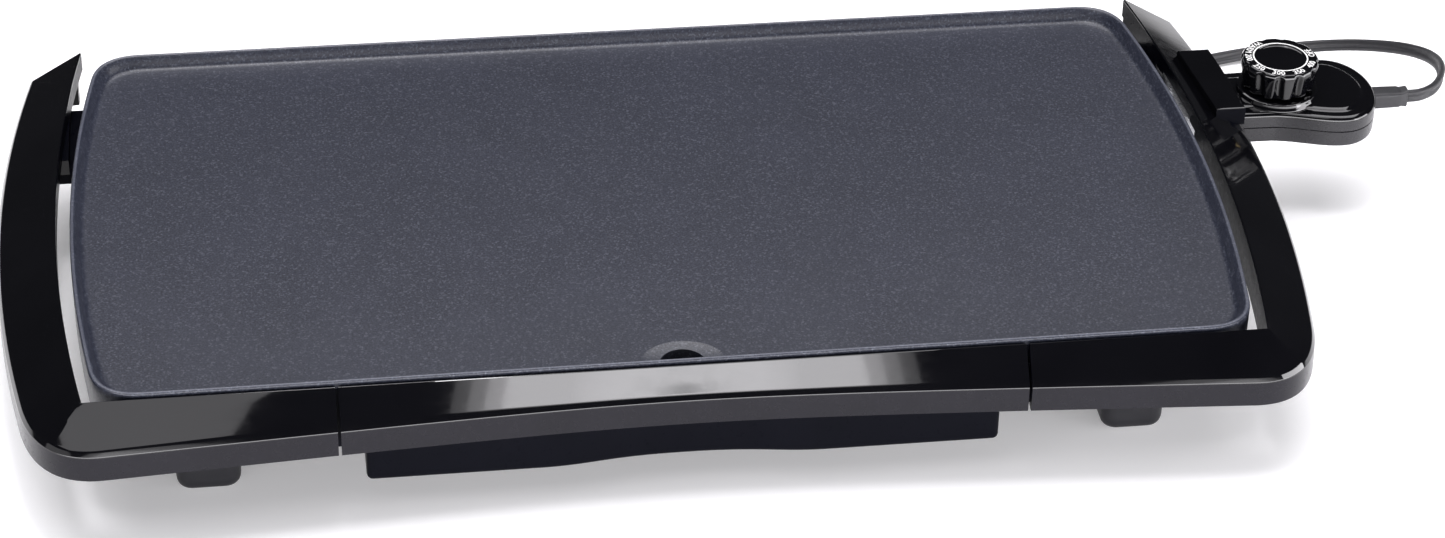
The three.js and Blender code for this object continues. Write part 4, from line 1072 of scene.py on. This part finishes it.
def make_marks():
    """The dial's temperatures, read anticlockwise, and the ring inside them."""
    shapes = []
    for words, degrees in MARKS:
        points, faces = text_shape(words)
        verts = []
        for p in points:
            angle = math.radians(degrees) + p.x / MARK_R * 0.96
            r = MARK_R - p.y
            verts.append((KNOB_X + r * math.cos(angle), CONTROL_Y + r * math.sin(angle),
                          KNOB_Z1 + MARK_LIFT + p.z))
        shapes.append((verts, faces))
    profile = [(12.55, -0.2), (12.55, 0.04), (12.7, 0.08), (13.1, 0.08), (13.25, 0.04), (13.25, -0.2)]
    verts, faces = lathe([(r, KNOB_Z1 + z) for r, z in profile], KNOB_X, CONTROL_Y, RING_SIDES)
    last = (len(profile) - 1) * RING_SIDES
    under = [(last + j, last + (j + 1) % RING_SIDES, (j + 1) % RING_SIDES, j) for j in range(RING_SIDES)]
    shapes.append((verts, faces[:-2] + under))
    dress(bare("dial_marks", merge(*shapes)), [PAINT], "dial", [], sharp=40)


make_dial()
make_marks()
dress_cad_nodes()


# ---------------------------------------------------------------- floor and lights
FLOOR_HALF, FLOOR_DROP = 6000, 0.0004


def make_floor():
    """A wide plain sheet, a hair under everything that stands on it."""
    corners = ((-1, -1), (1, -1), (1, 1), (-1, 1))
    verts = [(x * FLOOR_HALF, y * FLOOR_HALF, 0) for x, y in corners]
    floor = bare("floor", (verts, [(0, 1, 2, 3)]))
    floor.location.z = -FLOOR_DROP
    floor.data.materials.append(floor_paint("pale_floor"))


# Each light's name, place, aim, size and radiance, in metres. The cards are what the gloss reflects.
LIGHT_TINT = (0.985, 0.97, 1.0)
LIGHTS = (
    ("overhead", (0, 0.95, 2.3), (0, 0.95, 0), (3.2, 2.5), 3.7),
    ("key", (-0.15, -0.12, 2.2), (-0.05, -0.1, 0), (0.6, 0.3), 22),
    ("front_left", (-0.95, -1.0, 2.05), (-0.95, -1.0, 0), (2.5, 1.3), 1.6),
    ("side_card", (1.5, -0.5, 0.3), (0.3, 0, 0.05), (1.2, 0.5), 8.0),
    ("left_card", (-1.6, -0.7, 0.3), (-0.3, -0.1, 0.05), (1.2, 0.5), 0.8),
    ("front_card", (0.1, -0.717, 0.099), (0.1, -0.326, 1.019), (2.8, 0.558), 8.6),
)
# Strips above the front card, as (height, radiance), which fade its upper edge.
CARD_FADE = ((0.233, 5.4), (0.280, 2.9), (0.327, 1.2))


def area_light(name, at, aim, size, radiance):
    data = bpy.data.lights.new(name, "AREA")
    data.shape, data.size, data.size_y = "RECTANGLE", size[0], size[1]
    data.energy, data.color = radiance * math.pi * size[0] * size[1], LIGHT_TINT
    light = bpy.data.objects.new(name, data)
    bpy.context.scene.collection.objects.link(light)
    light.location = at
    light.rotation_mode = "QUATERNION"
    light.rotation_quaternion = (Vector(aim) - Vector(at)).to_track_quat("-Z", "Y")


def make_lights():
    """A dim even world and the soft lights."""
    world = bpy.data.worlds.new("studio")
    world.use_nodes = True
    world.node_tree.nodes["Background"].inputs["Color"].default_value = (0.55, 0.56, 0.62, 1)
    world.node_tree.nodes["Background"].inputs["Strength"].default_value = 0.06
    bpy.context.scene.world = world
    for light in LIGHTS:
        area_light(*light)
    for height, radiance in CARD_FADE:
        area_light("front_fade", (0.1, -0.98, height), (0.1, 0, height), (2.8, 0.047), radiance)


make_floor()
make_lights()
bpy.context.scene.view_settings.view_transform = "Standard"
